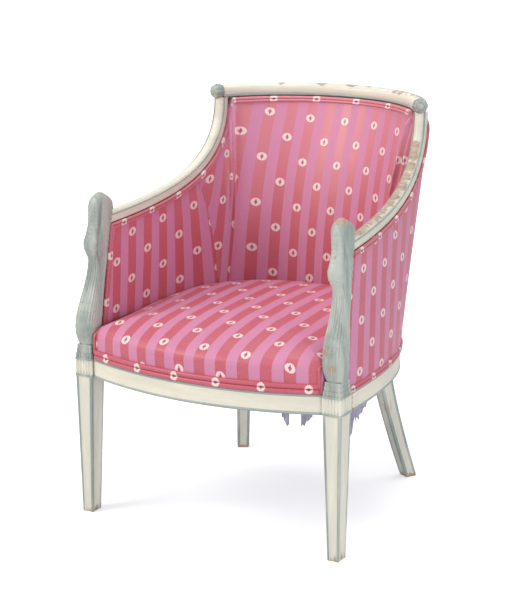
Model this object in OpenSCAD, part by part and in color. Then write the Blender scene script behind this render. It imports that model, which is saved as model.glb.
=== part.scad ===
// Bergere chair with a curved tub back, swan arm supports and sprung, covered upholstery.
// Left and right are the sitter's. Plan sizes are taken from the line through the front legs.

/* [Seat frame] */
// Height of the underside of the seat rails
rail_z = 315; // [280:1:350]
// Height of the show face of the seat rails
rail_show = 42; // [36:1:50]
// Height of the hidden tacking lip above the show face
rail_lip = 22; // [16:1:28]
// Thickness of the seat rails
rail_t = 26; // [24:1:30]
// Step from the show face in to the tacking lip
rail_rebate = 8; // [7:0.5:9]
// Height of the bead along each edge of a rail
rail_bead_h = 5; // [3:0.5:7]
// How far that bead stands out
rail_bead = 1.2; // [0.5:0.1:2]
// Half the width of the curved rails
plan_half_w = 320; // [310:1:335]
// Depth of the curved rails behind the front leg line
plan_depth = 545; // [525:1:570]
// Squareness of the curved rails, where 2 is an ellipse
plan_power = 2.7; // [2.5:0.05:2.9]
// How far the front rail bows out before the front leg line
front_bow = 76; // [60:1:90]

/* [Front legs] */
// Distance of the front legs' centres inside the widest line of the rails
leg_inset = 20; // [14:1:26]
// How far each foot stands outside its leg's top
leg_splay = 3; // [0:1:8]
// Width of the leg under its block
leg_w = 42; // [38:1:46]
// Depth of the leg under its block
leg_d = 50; // [46:1:54]
// Width of the foot
foot_w = 26; // [22:1:32]
// Depth of the foot
foot_d = 34; // [28:1:40]
// How far the fluted block stands proud of the leg, all round
block_proud = 1; // [0.5:0.5:2]
// Height of the fluted collar under the swan
collar_h = 29; // [22:1:36]
// How much narrower the collar is at its top, on each side
collar_draw = 4; // [2:0.5:6]
// Flutes on each face of the block and collar
flutes = 5; // [3:1:6]
// Depth of a flute
flute_depth = 1.4; // [0.6:0.1:2]
// Width of the bead along each corner of a leg
leg_bead = 6; // [4:0.5:8]
// How deep the leg's panels are sunk
leg_sink = 1.2; // [0.6:0.1:2]

/* [Rear legs] */
// Distance of the joints between side and back rails inside the widest line of the rails
rear_joint_inset = 130; // [120:1:142]
// Distance of the rear leg's centre inside the outer face of the rails
rear_leg_inset = 27; // [26:0.5:29]
// Width of the rear leg
rear_leg_w = 36; // [32:1:40]
// Depth of the rear leg
rear_leg_d = 36; // [32:1:40]
// Width and depth of the rear foot
rear_foot = 29; // [25:1:34]
// Sweep of the sabre leg from the rails to the foot
sabre_sweep = 91; // [70:1:110]
// How the sweep gathers towards the foot
sabre_power = 1.3; // [1.1:0.05:1.6]
// Turn of the rear leg from straight back
rear_turn = 30; // [24:1:34]
// Turn of the hidden stile at the crest
stile_turn = 42; // [34:1:46]
// Depth of the hidden stile inside the rails
stile_foot_d = 22; // [18:1:24]
// Depth of the hidden stile just above the rails
stile_d = 18; // [16:1:19]
// How far the stile is set out there
stile_set_out = 4; // [3:0.5:5]
// Depth of the hidden stile at the crest
stile_top_d = 12; // [10:0.5:12]

/* [Crest and arms] */
// Distance of the crest rail's ends inside the widest line of the seat rails
crest_inset = 31; // [25:1:38]
// Distance of the crest rail behind the back seat rail
crest_set_back = 99; // [90:1:108]
// Height of the underside of the crest rail
crest_z = 866; // [840:1:890]
// Height of the crest rail
crest_h = 28; // [24:1:32]
// Thickness of the crest rail
crest_t = 26; // [24:1:30]
// Angle from the middle of the crest rail to each knob
knob_q = 62.5; // [60:0.5:65]
// Radius of a knob
knob_r = 17.5; // [15:0.5:19]
// How far the knob's centre lies beyond the end of the crest rail
knob_reach = 12; // [9:0.5:14]
// Width of an arm rail
arm_w = 28; // [25:1:32]
// Thickness of an arm rail
arm_h = 24; // [21:1:27]
// Distance of the top of an arm rail behind its knob's centre
arm_top_back = 9; // [5:0.5:12]
// Distance of the top of an arm rail inside its knob's centre
arm_top_in = 3; // [0:0.5:6]

/* [Swan supports] */
// Height of a swan support above its collar
swan_h = 327; // [300:1:350]
// Depth of the swan at its breast
swan_d = 61; // [56:1:66]
// Width of the swan at its breast
swan_w = 43; // [38:1:46]
// How far the swan's top stands inside its foot
swan_lean_in = 11; // [4:1:16]
// Height of the arm rail's front end above the swan's foot
arm_on_swan = 269; // [250:1:285]

/* [Seat] */
// Height of the seat's crown above the rails' show face
seat_crown = 100; // [85:1:115]
// How far the front edge lies below the crown
seat_drop = 50; // [40:1:60]
// How far the seat's back edge lies below the crown
seat_back_drop = 16; // [10:1:24]
// Distance from the front leg line to the widest line of the seat
seat_mid_y = 200; // [180:1:220]
// Thickness of the seat cover with its wadding
seat_cover_t = 4; // [3:0.5:6]
// Springs across and along the seat
spring_rows = 3; // [2:1:3]
// Free radius of a spring's end
spring_r = 40; // [34:1:44]
// Radius of a spring's waist
spring_waist = 26; // [20:1:30]
// Distance between springs
spring_pitch = 130; // [110:1:135]

/* [Back and arm upholstery] */
// Height of the bottom edge of the inside covers above the rails
inside_lift = 58; // [52:1:64]
// Distance of that edge inside the outer faces of the rails, at the sides
side_wall = 35; // [33:1:40]
// Distance of that edge inside the outer face of the rails, at the back
back_wall = 33; // [31:1:40]
// Squareness of the inside plan
inside_power = 2.6; // [2.5:0.05:2.8]
// Swell of the inside back between its edges
back_swell = 29; // [20:1:32]
// Thickness of a cover
cover_t = 2.5; // [1.5:0.5:3.5]
// Thickness of an outside cover with its wadding
outside_t = 5; // [3:0.5:5.5]
// Thickness of the back pad at the seat
back_pad = 6; // [4:0.5:7]
// Thickness of the arm pads at the seat
arm_pad = 7; // [4:0.5:8]
// Thickness of the pads at the top
top_pad = 2.5; // [1.5:0.5:4]
// Slope of the front ends of the arms
arm_lean_share = 0.13; // [0.1:0.01:0.16]
// Slope of the arm panels at the back corners
corner_lean_share = 0.204; // [0.18:0.01:0.22]
// Thickness of a doubled welt
welt_t = 9; // [6:0.5:11]
// Width of the doubled welts round the back and arms
welt_w = 13; // [10:0.5:16]
// Width of the doubled welt along the seat's front
front_welt_w = 22; // [18:0.5:24]
// Thickness of the canvas, the webbing and the dust cover
cloth_t = 1.2; // [0.8:0.1:2]
// Width of a webbing band
web_w = 50; // [40:1:54]
// Width of the widest torn scrap of the dust cover
scrap_w = 44; // [30:1:50]
// Longest drop of a torn scrap
scrap_drop = 70; // [50:1:80]
// How far a scrap's folds stand out
scrap_fold = 4; // [2:0.5:5]

/* [Joints] */
// Length of the rail tenons
tenon_l = 22; // [16:1:23]
// Thickness of the rail tenons
tenon_t = 12; // [9:0.5:14]
// Shoulder above and below a tenon
tenon_shoulder = 7; // [5:0.5:10]
// Radius of the large dowels
dowel_r = 6; // [4:0.5:7]
// Radius of the small dowels
peg_r = 4; // [3:0.5:5]
// Depth of a dowel in each piece
dowel_l = 26; // [18:1:28]
// Radius of a screw's shank
screw_r = 2.2; // [1.5:0.1:2.5]
// Radius of a screw's head
screw_head_r = 4.5; // [4:0.1:5.5]
// Length of a screw
screw_l = 28; // [24:1:30]
// Height of a corner block
block_h = 36; // [28:1:40]
// Thickness of the slats at seat height
slat_t = 12; // [9:0.5:14]
// Height of those slats
slat_h = 26; // [20:1:30]
// Reach of a corner block along the rails
block_reach = 64; // [50:1:70]
// Thickness of wood under a screw's head in a corner block
screw_bite = 10; // [6:1:14]
// Clearance round soft pieces
soft_gap = 0.3; // [0.2:0.1:0.6]

/* [Hidden] */
$fn = 96;
cream = [0.90, 0.88, 0.80];
grey_green = [0.60, 0.65, 0.62];
raw_wood = [0.72, 0.58, 0.42];
rose = [0.80, 0.38, 0.50];
coral = [0.78, 0.34, 0.38];
linen = [0.78, 0.70, 0.55];
lilac = [0.58, 0.56, 0.66];
steel = [0.62, 0.62, 0.64];
over = 1;
rail_top = rail_z + rail_show;
lip_top = rail_top + rail_lip;
inside_z = rail_top + inside_lift;
leg_x = plan_half_w - leg_inset;
rear_joint_x = plan_half_w - rear_joint_inset;
inside_half_w = plan_half_w - side_wall;
inside_depth = plan_depth - back_wall;
crest_r = plan_half_w - crest_inset;
crest_y = plan_depth + crest_set_back - crest_r;
knob_at = [crest_r * sin(knob_q), crest_y + crest_r * cos(knob_q), crest_z + crest_h / 2];
arm_top = [knob_at.x - arm_top_in, knob_at.y + arm_top_back, crest_z];
block_w = leg_w + 2 * block_proud;
block_d = leg_d + 2 * block_proud;
block_in_x = leg_x - block_w / 2;
swan_z = rail_top + collar_h;
swan_tip_z = swan_z + swan_h;
crest_mid_z = crest_z + crest_h / 2;
// The front rail is an arc through its bow and the inner edges of the leg blocks.
rail_set_back = 8;
lip_short = 12;
collar_steps = 3;
bow_rise = front_bow - block_d / 2 + rail_set_back;
bow_r = (pow(block_in_x, 2) + pow(bow_rise, 2)) / (2 * bow_rise);
bow_y = bow_r - front_bow;
// The whole chair is moved so that its middle lies on the origin.
chair_front = -front_bow - rail_bead;
chair_back = crest_y + crest_r + crest_t / 2;
mid_y = (chair_front + chair_back) / 2;

function lerp(a, b, t) = a + (b - a) * t;
function smooth(t) = t * t * (3 - 2 * t);
function clamp01(t) = min(1, max(0, t));
function unit(v) = v / norm(v);
function flip(list) = [for (i = [len(list) - 1:-1:0]) list[i]];
function join(lists) = [for (l = lists, p = l) p];
function bezier(p, t) = pow(1 - t, 3) * p[0] + 3 * t * pow(1 - t, 2) * p[1]
    + 3 * t * t * (1 - t) * p[2] + t * t * t * p[3];
function bezier_way(p, t) = unit(3 * pow(1 - t, 2) * (p[1] - p[0]) + 6 * t * (1 - t) * (p[2] - p[1])
    + 3 * t * t * (p[3] - p[2]));

// Plan curves: a quarter turn q runs from the side, 0, to the middle of the back, 90.
function plan_pt(a, b, n, q) = [a * pow(max(0, cos(q)), 2 / n), b * pow(max(0, sin(q)), 2 / n)];
function plan_x(a, b, n, y) = a * pow(max(0, 1 - pow(max(0, y) / b, n)), 1 / n);
function plan_q_of_y(b, n, y) = asin(pow(y / b, n / 2));
function plan_q_of_x(a, n, x) = acos(pow(x / a, n / 2));
function band(grow, thick, turns) = concat(
    [for (q = turns) plan_pt(plan_half_w + grow, plan_depth + grow, plan_power, q)],
    [for (q = flip(turns)) plan_pt(plan_half_w + grow - thick, plan_depth + grow - thick, plan_power, q)]);
rear_q = plan_q_of_x(plan_half_w, plan_power, rear_joint_x);
side_steps = 24;
side_turns = [for (i = [0:side_steps]) rear_q * i / side_steps];
back_steps = 16;
back_turns = [for (i = [0:back_steps]) lerp(rear_q, 90, i / back_steps)];

module place() translate([0, -mid_y, 0]) children();
module sided(left) mirror([left ? 0 : 1, 0, 0]) children();

// A closed solid through rings of points, each ring with as many points, with flat or strip ends.
// In a strip the two faces are cut along the same diagonals, so that neighbouring layers match.
module loft(rings, strip = false) {
    n = len(rings[0]);
    m = len(rings);
    last = (m - 1) * n;
    sides = [for (i = [0:m - 2], j = [0:n - 1]) let (a = i * n + j, b = i * n + (j + 1) % n)
        each strip && j >= n / 2 ? [[a, a + n, b], [a + n, b + n, b]] : [[a, a + n, b + n], [a, b + n, b]]];
    ends = strip
        ? [for (j = [0:n / 2 - 2]) each [
            [j, j + 1, n - 1 - j], [j + 1, n - 2 - j, n - 1 - j],
            [last + j + 1, last + j, last + n - 1 - j],
            [last + n - 2 - j, last + j + 1, last + n - 1 - j]]]
        : [[for (j = [0:n - 1]) j], [for (j = [n - 1:-1:0]) last + j]];
    polyhedron(points = join(rings), faces = concat(sides, ends), convexity = 6);
}

// Outline of a square stick with a bead at each corner and sunk faces.
sink_run_share = 1.6;
sink_run = sink_run_share * leg_sink;
function stick_quarter(w, d, b, s) = [[w / 2 - s, d / 2 - b - sink_run], [w / 2, d / 2 - b],
    [w / 2, d / 2 - b / 3], [w / 2 - b / 3, d / 2], [w / 2 - b, d / 2], [w / 2 - b - sink_run, d / 2 - s]];
function stick(w, d, b, s) = let (q = stick_quarter(w, d, b, s)) concat(q,
    [for (p = flip(q)) [-p.x, p.y]], [for (p = q) [-p.x, -p.y]], [for (p = flip(q)) [p.x, -p.y]]);
function ring_at(outline, x, y, z, turn = 0) = [for (p = outline)
    [x + p.x * cos(turn) + p.y * sin(turn), y - p.x * sin(turn) + p.y * cos(turn), z]];

// Front legs
flute_round_share = 1.6;
module leg_flutes(half, len) for (i = [1:flutes])
    translate([half + flute_depth / 2, len * (2 * i / (flutes + 1) - 1)])
        circle(r = flute_depth * flute_round_share, $fn = 24);
module fluted_plan(draw) let (w = block_w / 2 - draw, d = block_d / 2 - draw) difference() {
    square([2 * w, 2 * d], center = true);
    for (turn = [0, 180]) rotate(turn) {
        leg_flutes(w, d);
        rotate(90) leg_flutes(d, w);
    }
}
module front_leg(left) place() sided(left) color(cream) difference() {
    union() {
        loft([ring_at(stick(foot_w, foot_d, leg_bead * foot_w / leg_w, leg_sink), leg_x + leg_splay, 0, 0),
            ring_at(stick(leg_w, leg_d, leg_bead, leg_sink), leg_x, 0, rail_z + over)]);
        for (z = [rail_z, rail_top - rail_bead_h]) translate([leg_x - block_w / 2, -block_d / 2, z])
            cube([block_w, block_d, rail_bead_h]);
        translate([leg_x, 0, rail_z]) linear_extrude(rail_show) fluted_plan(0);
        for (i = [1:collar_steps]) translate([leg_x, 0, rail_top - over]) linear_extrude(over
            + collar_h * i / collar_steps) fluted_plan(collar_draw * i / collar_steps);
    }
    front_tenon(over);
    side_tenon(over);
    leg_dowel_hole();
}
module leg_dowel_hole() translate([leg_x, 0, swan_z - dowel_l]) cylinder(r = dowel_r, h = 2 * dowel_l);
module tenon_box(lo, hi) translate(lo) cube(hi - lo);
front_tenon_y = -block_d / 2 + rail_set_back + rail_t / 2;
side_tenon_x = plan_half_w - rail_t / 2;
module front_tenon(more) tenon_box(
    [block_in_x - more, front_tenon_y - tenon_t / 2, rail_z + tenon_shoulder],
    [block_in_x + tenon_l, front_tenon_y + tenon_t / 2, rail_top - tenon_shoulder]);
module side_tenon(more) tenon_box(
    [side_tenon_x - tenon_t / 2, block_d / 2 - tenon_l, rail_z + tenon_shoulder],
    [side_tenon_x + tenon_t / 2, block_d / 2 + more, rail_top - tenon_shoulder]);

// Seat rails
module bow_plan(grow, thick) intersection() {
    translate([0, bow_y]) difference() {
        circle(r = bow_r + grow, $fn = 180);
        circle(r = bow_r + grow - thick, $fn = 180);
    }
    translate([-block_in_x, -front_bow - over - grow]) square([2 * block_in_x, front_bow + block_d]);
}
module rail_plan(kind, grow, thick) {
    if (kind == "front") bow_plan(grow, thick);
    if (kind == "side") side_plan(grow, thick);
    if (kind == "back") back_plan(grow, thick);
}
module rail_body(kind) {
    for (z = [rail_z, rail_top - rail_bead_h]) translate([0, 0, z])
        linear_extrude(rail_bead_h) rail_plan(kind, rail_bead, rail_t + rail_bead);
    translate([0, 0, rail_z + rail_bead_h]) linear_extrude(rail_show - 2 * rail_bead_h)
        rail_plan(kind, 0, rail_t);
    translate([0, 0, rail_top]) linear_extrude(rail_lip) difference() {
        rail_plan(kind, -rail_rebate, rail_t - rail_rebate);
        if (kind == "front") for (side = [-1, 1]) translate([side * (leg_x - lip_short), 0])
            square([block_w, 2 * block_d], center = true);
    }
}
module front_seat_rail() place() color(cream) difference() {
    union() {
        rail_body("front");
        for (left = [true, false]) sided(left) front_tenon(over);
    }
    for (left = [true, false]) sided(left) block_screws();
}
module side_plan(grow, thick) difference() {
    polygon(band(grow, thick, side_turns));
    translate([0, block_d / 2 - plan_depth]) square([2 * plan_half_w, plan_depth]);
}
module side_seat_rail(left) place() sided(left) color(cream) difference() {
    union() {
        rail_body("side");
        side_tenon(over);
    }
    block_screws();
    leg_screws();
}
module back_plan(grow, thick) for (left = [true, false]) mirror([left ? 0 : 1, 0])
    polygon(band(grow, thick, back_turns));
module back_seat_rail() place() color(cream) difference() {
    rail_body("back");
    for (left = [true, false]) sided(left) leg_screws();
}

// Rear legs: a sabre leg under the rails, lapped inside them, and a stile up to the crest.
rear_out = [sin(rear_turn), cos(rear_turn)];
rear_at = plan_pt(plan_half_w, plan_depth, plan_power, rear_q) - rear_leg_inset * rear_out;
stile_top_r = crest_r + over;
stile_top = [stile_top_r * sin(stile_turn), crest_y + stile_top_r * cos(stile_turn)];
function sabre(z) = rear_at + rear_out * sabre_sweep * pow(1 - z / rail_z, sabre_power);
stile_bend_z = inside_z - slat_h;
stile_bend = lerp(rear_at, stile_top, (stile_bend_z - lip_top) / (crest_z - lip_top))
    + stile_set_out * rear_out;
function stile_at(z) = z < stile_bend_z
    ? lerp(rear_at, stile_bend, max(0, z - lip_top) / (stile_bend_z - lip_top))
    : lerp(stile_bend, stile_top, (z - stile_bend_z) / (crest_z - stile_bend_z));
function stile_depth(z) = lookup(z, [[lip_top, stile_foot_d], [stile_bend_z, stile_d],
    [crest_z, stile_top_d]]);
// The lap over the joint between the side rail and the back rail
lap_turns = concat([for (i = [side_steps / 2:side_steps]) side_turns[i]],
    [for (i = [1:back_steps / 2]) back_turns[i]]);
stile_w = rear_leg_w - 2 * leg_sink - 2 * over;
cap_h = 4;
cap_proud = 0.4;
sabre_steps = 10;
module sabre_leg() {
    loft([for (i = [0:sabre_steps]) let (t = i / sabre_steps, z = (rail_z - cap_h / 2) * t, c = sabre(z))
        ring_at(stick(lerp(rear_foot, rear_leg_w, t), lerp(rear_foot, rear_leg_d, t), leg_bead, leg_sink),
            c.x, c.y, z, rear_turn)]);
    translate([rear_at.x, rear_at.y, rail_z - cap_h]) rotate(-rear_turn) linear_extrude(cap_h)
        square([rear_leg_w + 2 * cap_proud, rear_leg_d + 2 * cap_proud], center = true);
}
module stile() loft([for (z = [rail_z - over, lip_top, stile_bend_z, crest_z])
    let (c = stile_at(z), d = stile_depth(z)) ring_at([[stile_w / 2, -d / 2], [stile_w / 2, d / 2],
        [-stile_w / 2, d / 2], [-stile_w / 2, -d / 2]],
        c.x, c.y, z, z > stile_bend_z ? stile_turn : rear_turn)]);
module rear_leg(left) place() sided(left) color(cream) difference() {
    union() {
        sabre_leg();
        difference() {
            stile();
            translate([0, 0, rail_z - over]) linear_extrude(rail_show + rail_lip + over)
                polygon(band(rail_bead, rail_t + rail_bead, lap_turns));
        }
    }
    leg_screws(2 * over);
    stile_peg();
}
module stile_peg() let (c = stile_at(crest_z - dowel_l / 2))
    translate([c.x, c.y, crest_z - dowel_l]) cylinder(r = peg_r, h = dowel_l + crest_h / 2);

// Swan supports. Each row of shares gives the height, then the front and rear edges and the half widths
// of the front and rear lobes, then the depth of the groove between them.
swan_shares = [
    [0.000, -0.33, 0.39, 0.40, 0.40, 0.00], [0.035, -0.44, 0.41, 0.46, 0.45, 0.00],
    [0.085, -0.53, 0.43, 0.50, 0.48, 0.00], [0.145, -0.56, 0.45, 0.50, 0.48, 0.00],
    [0.215, -0.49, 0.49, 0.47, 0.47, 0.00], [0.300, -0.31, 0.55, 0.43, 0.43, 0.00],
    [0.390, -0.10, 0.62, 0.36, 0.38, 0.00], [0.475, 0.05, 0.71, 0.31, 0.34, 0.02],
    [0.540, 0.08, 0.77, 0.27, 0.33, 0.05], [0.585, -0.01, 0.81, 0.25, 0.32, 0.08],
    [0.630, -0.12, 0.85, 0.33, 0.32, 0.12], [0.680, -0.15, 0.90, 0.35, 0.32, 0.15],
    [0.740, -0.05, 0.97, 0.30, 0.32, 0.18], [0.800, 0.05, 1.03, 0.28, 0.32, 0.19],
    [0.860, 0.07, 1.09, 0.29, 0.32, 0.18], [0.910, 0.09, 1.10, 0.31, 0.32, 0.14],
    [0.950, 0.15, 1.00, 0.31, 0.31, 0.07], [0.980, 0.25, 0.85, 0.25, 0.25, 0.02],
    [1.000, 0.42, 0.66, 0.12, 0.12, 0.00]];
swan_side_steps = 12;
groove_at_share = 0.50;
groove_spread_share = 0.16;
function swan_half(row, c) = swan_w * pow(1 - pow(abs(2 * c - 1), 3), 0.5)
    * (lerp(row[3], row[4], smooth(c)) - row[5] * exp(-pow((c - groove_at_share) / groove_spread_share, 2)));
function swan_ring(row) = let (m = swan_side_steps,
        x = leg_x - swan_lean_in * row[0], z = swan_z + swan_h * row[0],
        c = [for (i = [0:m]) (1 - cos(180 * i / m)) / 2],
        half = [for (t = c) [swan_half(row, t), swan_d * lerp(row[1], row[2], t)]])
    concat([for (i = [0:m - 1]) [x + half[i].x, half[i].y, z]],
        [for (i = [m:-1:1]) [x - half[i].x, half[i].y, z]]);
function swan_rear(z) = let (h = (z - swan_z) / swan_h)
    swan_d * lookup(h, [for (r = swan_shares) [r[0], r[2]]]);
function swan_mid_x(z) = leg_x - swan_lean_in * (z - swan_z) / swan_h;
module swan_body() loft([for (row = swan_shares) swan_ring(row)]);
module arm_seat() translate(arm_front) rotate([0, 0, atan2(arm_way.y, arm_way.x)])
    rotate([0, -asin(arm_way.z), 0]) translate([0, -arm_w, -arm_h / 2 - soft_gap])
    cube([swan_d, 2 * arm_w, arm_h + 2 * soft_gap]);
module slat_seat() translate([slat_in_x - over, slat_cut_y, inside_z - slat_h / 2 - soft_gap])
    cube([slat_t + 2 * over, swan_d, slat_h + 2 * soft_gap]);
module swan_support(left) place() sided(left) color(grey_green) difference() {
    swan_body();
    arm_seat();
    slat_seat();
    leg_dowel_hole();
    arm_dowel_hole();
}

// Arm rails
arm_z = swan_z + arm_on_swan;
arm_cope = 9;
arm_front = [swan_mid_x(arm_z), swan_rear(arm_z) - arm_cope, arm_z];
arm_bend_shares = [[0.43, 0.54, 0.062], [1, 1, 0.215]];
arm_path = [arm_front, for (s = arm_bend_shares) [for (k = [0:2]) lerp(arm_front[k], arm_top[k], s[k])],
    arm_top];
arm_way = bezier_way(arm_path, 0);
function arm_pt(t) = bezier(arm_path, t);
function arm_side(t) = let (w = bezier_way(arm_path, t)) unit([1, 0, 0] - w.x * w);
function arm_up(t) = cross(arm_side(t), bezier_way(arm_path, t));
rail_section_shares = [[0, 1], [0.42, 0.88], [0.70, 0.60], [0.78, 0.42], [0.90, 0.46], [1, 0.28],
    [1, -0.80], [0.86, -1]];
function arm_section(t) = let (half = [for (s = rail_section_shares) [s.x * arm_w / 2, s.y * arm_h / 2]],
        whole = concat(half, [for (i = [len(half) - 1:-1:1]) [-half[i].x, half[i].y]]))
    [for (p = whole) arm_pt(t) + p.x * arm_side(t) + p.y * arm_up(t)];
module arm_dowel_hole() translate([arm_front.x, arm_front.y - dowel_l / 2, arm_front.z])
    rotate([-90, 0, 0]) cylinder(r = peg_r, h = 2 * dowel_l);
knob_peg_share = 0.6;
module knob_peg() translate([arm_top.x, lerp(knob_at.y, arm_top.y, knob_peg_share), crest_z - dowel_l])
    cylinder(r = peg_r, h = dowel_l + knob_r / 2);
module arm_rail(left) place() sided(left) color(cream) difference() {
    loft([for (i = [0:18]) arm_section(i / 18)]);
    arm_dowel_hole();
    knob_peg();
}

// Crest rail and knobs
crest_end_q = knob_q - knob_reach / crest_r * 180 / PI;
crest_section_shares = [[-0.80, -1], [1, -1], [1, 0.35], [0.93, 0.50], [1, 0.64], [0.90, 0.88],
    [0.62, 0.94], [0.55, 0.86], [0.30, 0.97], [-0.10, 1], [-0.45, 0.88], [-0.76, 0.64], [-0.94, 0.32],
    [-1, 0], [-0.97, -0.30], [-0.88, -0.56], [-1, -0.62], [-1, -0.88]];
module crest_rail() place() color(cream) difference() {
    translate([0, crest_y, crest_mid_z]) rotate([0, 0, 90 - crest_end_q])
        rotate_extrude(angle = 2 * crest_end_q, $fn = 180) polygon([for (s = crest_section_shares)
            [crest_r + s.x * crest_t / 2, s.y * crest_h / 2]]);
    for (left = [true, false]) sided(left) {
        crest_peg();
        stile_peg();
    }
}
crest_peg_share = 0.75;
module crest_peg() translate([0, crest_y, crest_mid_z + peg_r]) rotate([0, 0, -crest_end_q])
    translate([-dowel_l * crest_peg_share, crest_r, 0]) rotate([0, 90, 0]) cylinder(r = peg_r, h = dowel_l);
module crest_knob(left) place() sided(left) color(grey_green) difference() {
    intersection() {
        union() {
            translate(knob_at) sphere(r = knob_r);
            translate([0, crest_y, crest_mid_z]) rotate([0, 0, -crest_end_q])
                translate([0, crest_r, 0]) rotate([0, 90, 0])
                cylinder(r = crest_t / 2, h = knob_reach);
        }
        translate([0, crest_y, crest_z]) rotate([0, 0, -crest_end_q])
            cube([crest_r, 2 * crest_r, crest_h + 2 * knob_r]);
    }
    crest_peg();
    knob_peg();
}
module joint_dowels() place() color(raw_wood) for (left = [true, false]) sided(left) {
    leg_dowel_hole();
    arm_dowel_hole();
    knob_peg();
    crest_peg();
    stile_peg();
}

// Corner blocks and screws
block_z = rail_z + rail_bead_h;
corner_at = [block_in_x, block_d / 2];
side_in_x = plan_half_w - rail_t;
module corner_plan() difference() {
    polygon([corner_at + [over, over], corner_at + [over, -block_d], corner_at + [-block_reach, -block_d],
        corner_at + [0, block_reach], corner_at + [plan_half_w - block_in_x, block_reach]]);
    translate([0, bow_y]) difference() {
        circle(r = bow_r + block_d, $fn = 180);
        circle(r = bow_r - rail_t, $fn = 180);
    }
    translate([leg_x, 0]) square([block_w, block_d], center = true);
    polygon(concat([[plan_half_w + block_d, 0]], [for (i = [0:24])
        plan_pt(side_in_x, plan_depth - rail_t, plan_power, rear_q * i / 24)],
        [[plan_half_w + block_d, plan_depth]]));
}
module corner_blocks() place() color(raw_wood) for (left = [true, false]) sided(left) difference() {
    translate([0, 0, block_z]) linear_extrude(block_h) corner_plan();
    block_screws(block_reach);
}
// A countersunk screw along x, with a bore behind its head where a piece needs one
module screw(bore = 0) rotate([0, 90, 0]) {
    cylinder(r = screw_r, h = screw_l);
    cylinder(r1 = screw_head_r, r2 = screw_r, h = screw_head_r);
    if (bore > 0) translate([0, 0, -bore]) cylinder(r = screw_head_r, h = bore);
}
block_screw_z = block_z + block_h / 2;
front_screw_share = 0.6;
side_screw_share = 0.76;
front_screw_x = block_in_x - block_reach * front_screw_share;
front_screw_q = asin(front_screw_x / bow_r);
side_screw_y = corner_at.y + block_reach * side_screw_share;
module block_screws(bore = 0) for (z = [-1, 1]) translate([0, 0, block_screw_z + z * block_h / 4]) {
    translate([front_screw_x, bow_y - (bow_r - rail_t - screw_bite) * cos(front_screw_q)])
        rotate([0, 0, front_screw_q - 90]) screw(bore);
    translate([side_in_x - screw_bite, side_screw_y]) screw(bore);
}
// One screw on each side of the joint between the side rail and the back rail
module leg_screws(bore = 0) for (side = [-1, 1]) let (c = stile_at(rail_z)) translate([
    c.x - rear_out.x * (stile_foot_d / 2 - over) + side * rear_leg_w / 4 * rear_out.y,
    c.y - rear_out.y * (stile_foot_d / 2 - over) - side * rear_leg_w / 4 * rear_out.x,
    rail_z + rail_show / 2])
    rotate([0, 0, 90 - rear_turn]) screw(bore);
module frame_screws() place() color(steel) for (left = [true, false]) sided(left) {
    block_screws();
    leg_screws();
}

// The tub wall. A place s runs from the middle of the back, 0, by the knob, corner_share, to the swan, 1,
// and a height t runs from the wall's bottom edge, 0, to its top edge, 1.
corner_share = 0.5;
corner_run_share = 0.03;
crest_run_q = 56;
top_gap = 1;
function arm_s(s) = (1 - s) / (1 - corner_share);
function crest_edge(s, r) = let (q = crest_run_q * s / corner_share)
    [r * sin(q), crest_y + r * cos(q), crest_z - top_gap];
function arm_edge(s, across) = let (t = arm_s(s), p = arm_pt(t) + arm_side(t) * across
    - arm_up(t) * (arm_h / 2 + top_gap)) [p.x, p.y, min(p.z, crest_z - top_gap)];
function corner_run(s) = (s - corner_share) / corner_run_share;
function top_edge(s, across) = let (r = crest_r + across * crest_t / 2,
        turn_s = corner_share + corner_run_share)
    s < corner_share ? crest_edge(s, r) : s > turn_s ? arm_edge(s, across * arm_w / 2)
    : lerp(crest_edge(corner_share, r), arm_edge(turn_s, across * arm_w / 2), corner_run(s));
function outer_top(s) = top_edge(s, 1);
function inner_top(s) = top_edge(s, -1);
function wall_low(top, s, a, b, n, z) = let (e = top(corner_share), y0 = e.y - corner_lean_share * (e.z - z))
    s < corner_share
    ? let (p = plan_pt(a, b, n, lerp(90, plan_q_of_y(b, n, y0), s / corner_share))) [p.x, p.y, z]
    : let (f = top(1), y1 = f.y - arm_lean_share * (f.z - z), y = lerp(y0, y1, pow(1 - arm_s(s), 2)))
        [plan_x(a, b, n, y), y, z];
function outer_pt(s, t) = lerp(wall_low(function (s) outer_top(s), s, plan_half_w, plan_depth, plan_power,
    rail_top + soft_gap), outer_top(s), t);
function inner_flat(s, t) = lerp(wall_low(function (s) inner_top(s), s, inside_half_w, inside_depth,
    inside_power, inside_z), inner_top(s), t);
function wall_way(s, t) = let (d = outer_pt(s, t) - inner_flat(s, t)) unit([d.x, d.y, 0]);
function inner_pt(s, t) = inner_flat(s, t)
    - wall_way(s, t) * sin(180 * t) * back_swell * (1 - smooth(min(1, s)));
function pad_t(s, t) = lerp(s < corner_share ? back_pad : lerp(arm_pad, back_pad, arm_s(s)), top_pad, t);
// Faces of the layers, counted outwards from the inside face or inwards from the outside face
function from_in(s, t, d) = inner_pt(s, t) + d * wall_way(s, t);
function from_out(s, t, d) = outer_pt(s, t) - d * wall_way(s, t);

// A layer of the wall between two faces. Each key gives a place at the wall's foot and one at its top.
module layer(face0, face1, keys, t0, t1, k) loft([for (key = keys)
    concat([for (j = [0:k]) let (t = lerp(t0, t1, j / k)) face1(lerp(key[0], key[1], t), t)],
        [for (j = [k:-1:0]) let (t = lerp(t0, t1, j / k)) face0(lerp(key[0], key[1], t), t)])],
    strip = true);
function both_sides(keys) = concat([for (i = [len(keys) - 1:-1:1]) -keys[i]], keys);
function mirrored(face) = function (s, t) let (p = face(abs(s), t)) [s < 0 ? -p.x : p.x, p.y, p.z];
seam_foot_share = 0.52;
seam_top_share = 0.68;
seam_gap_share = 0.002;
wall_end_share = 0.992;
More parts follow.
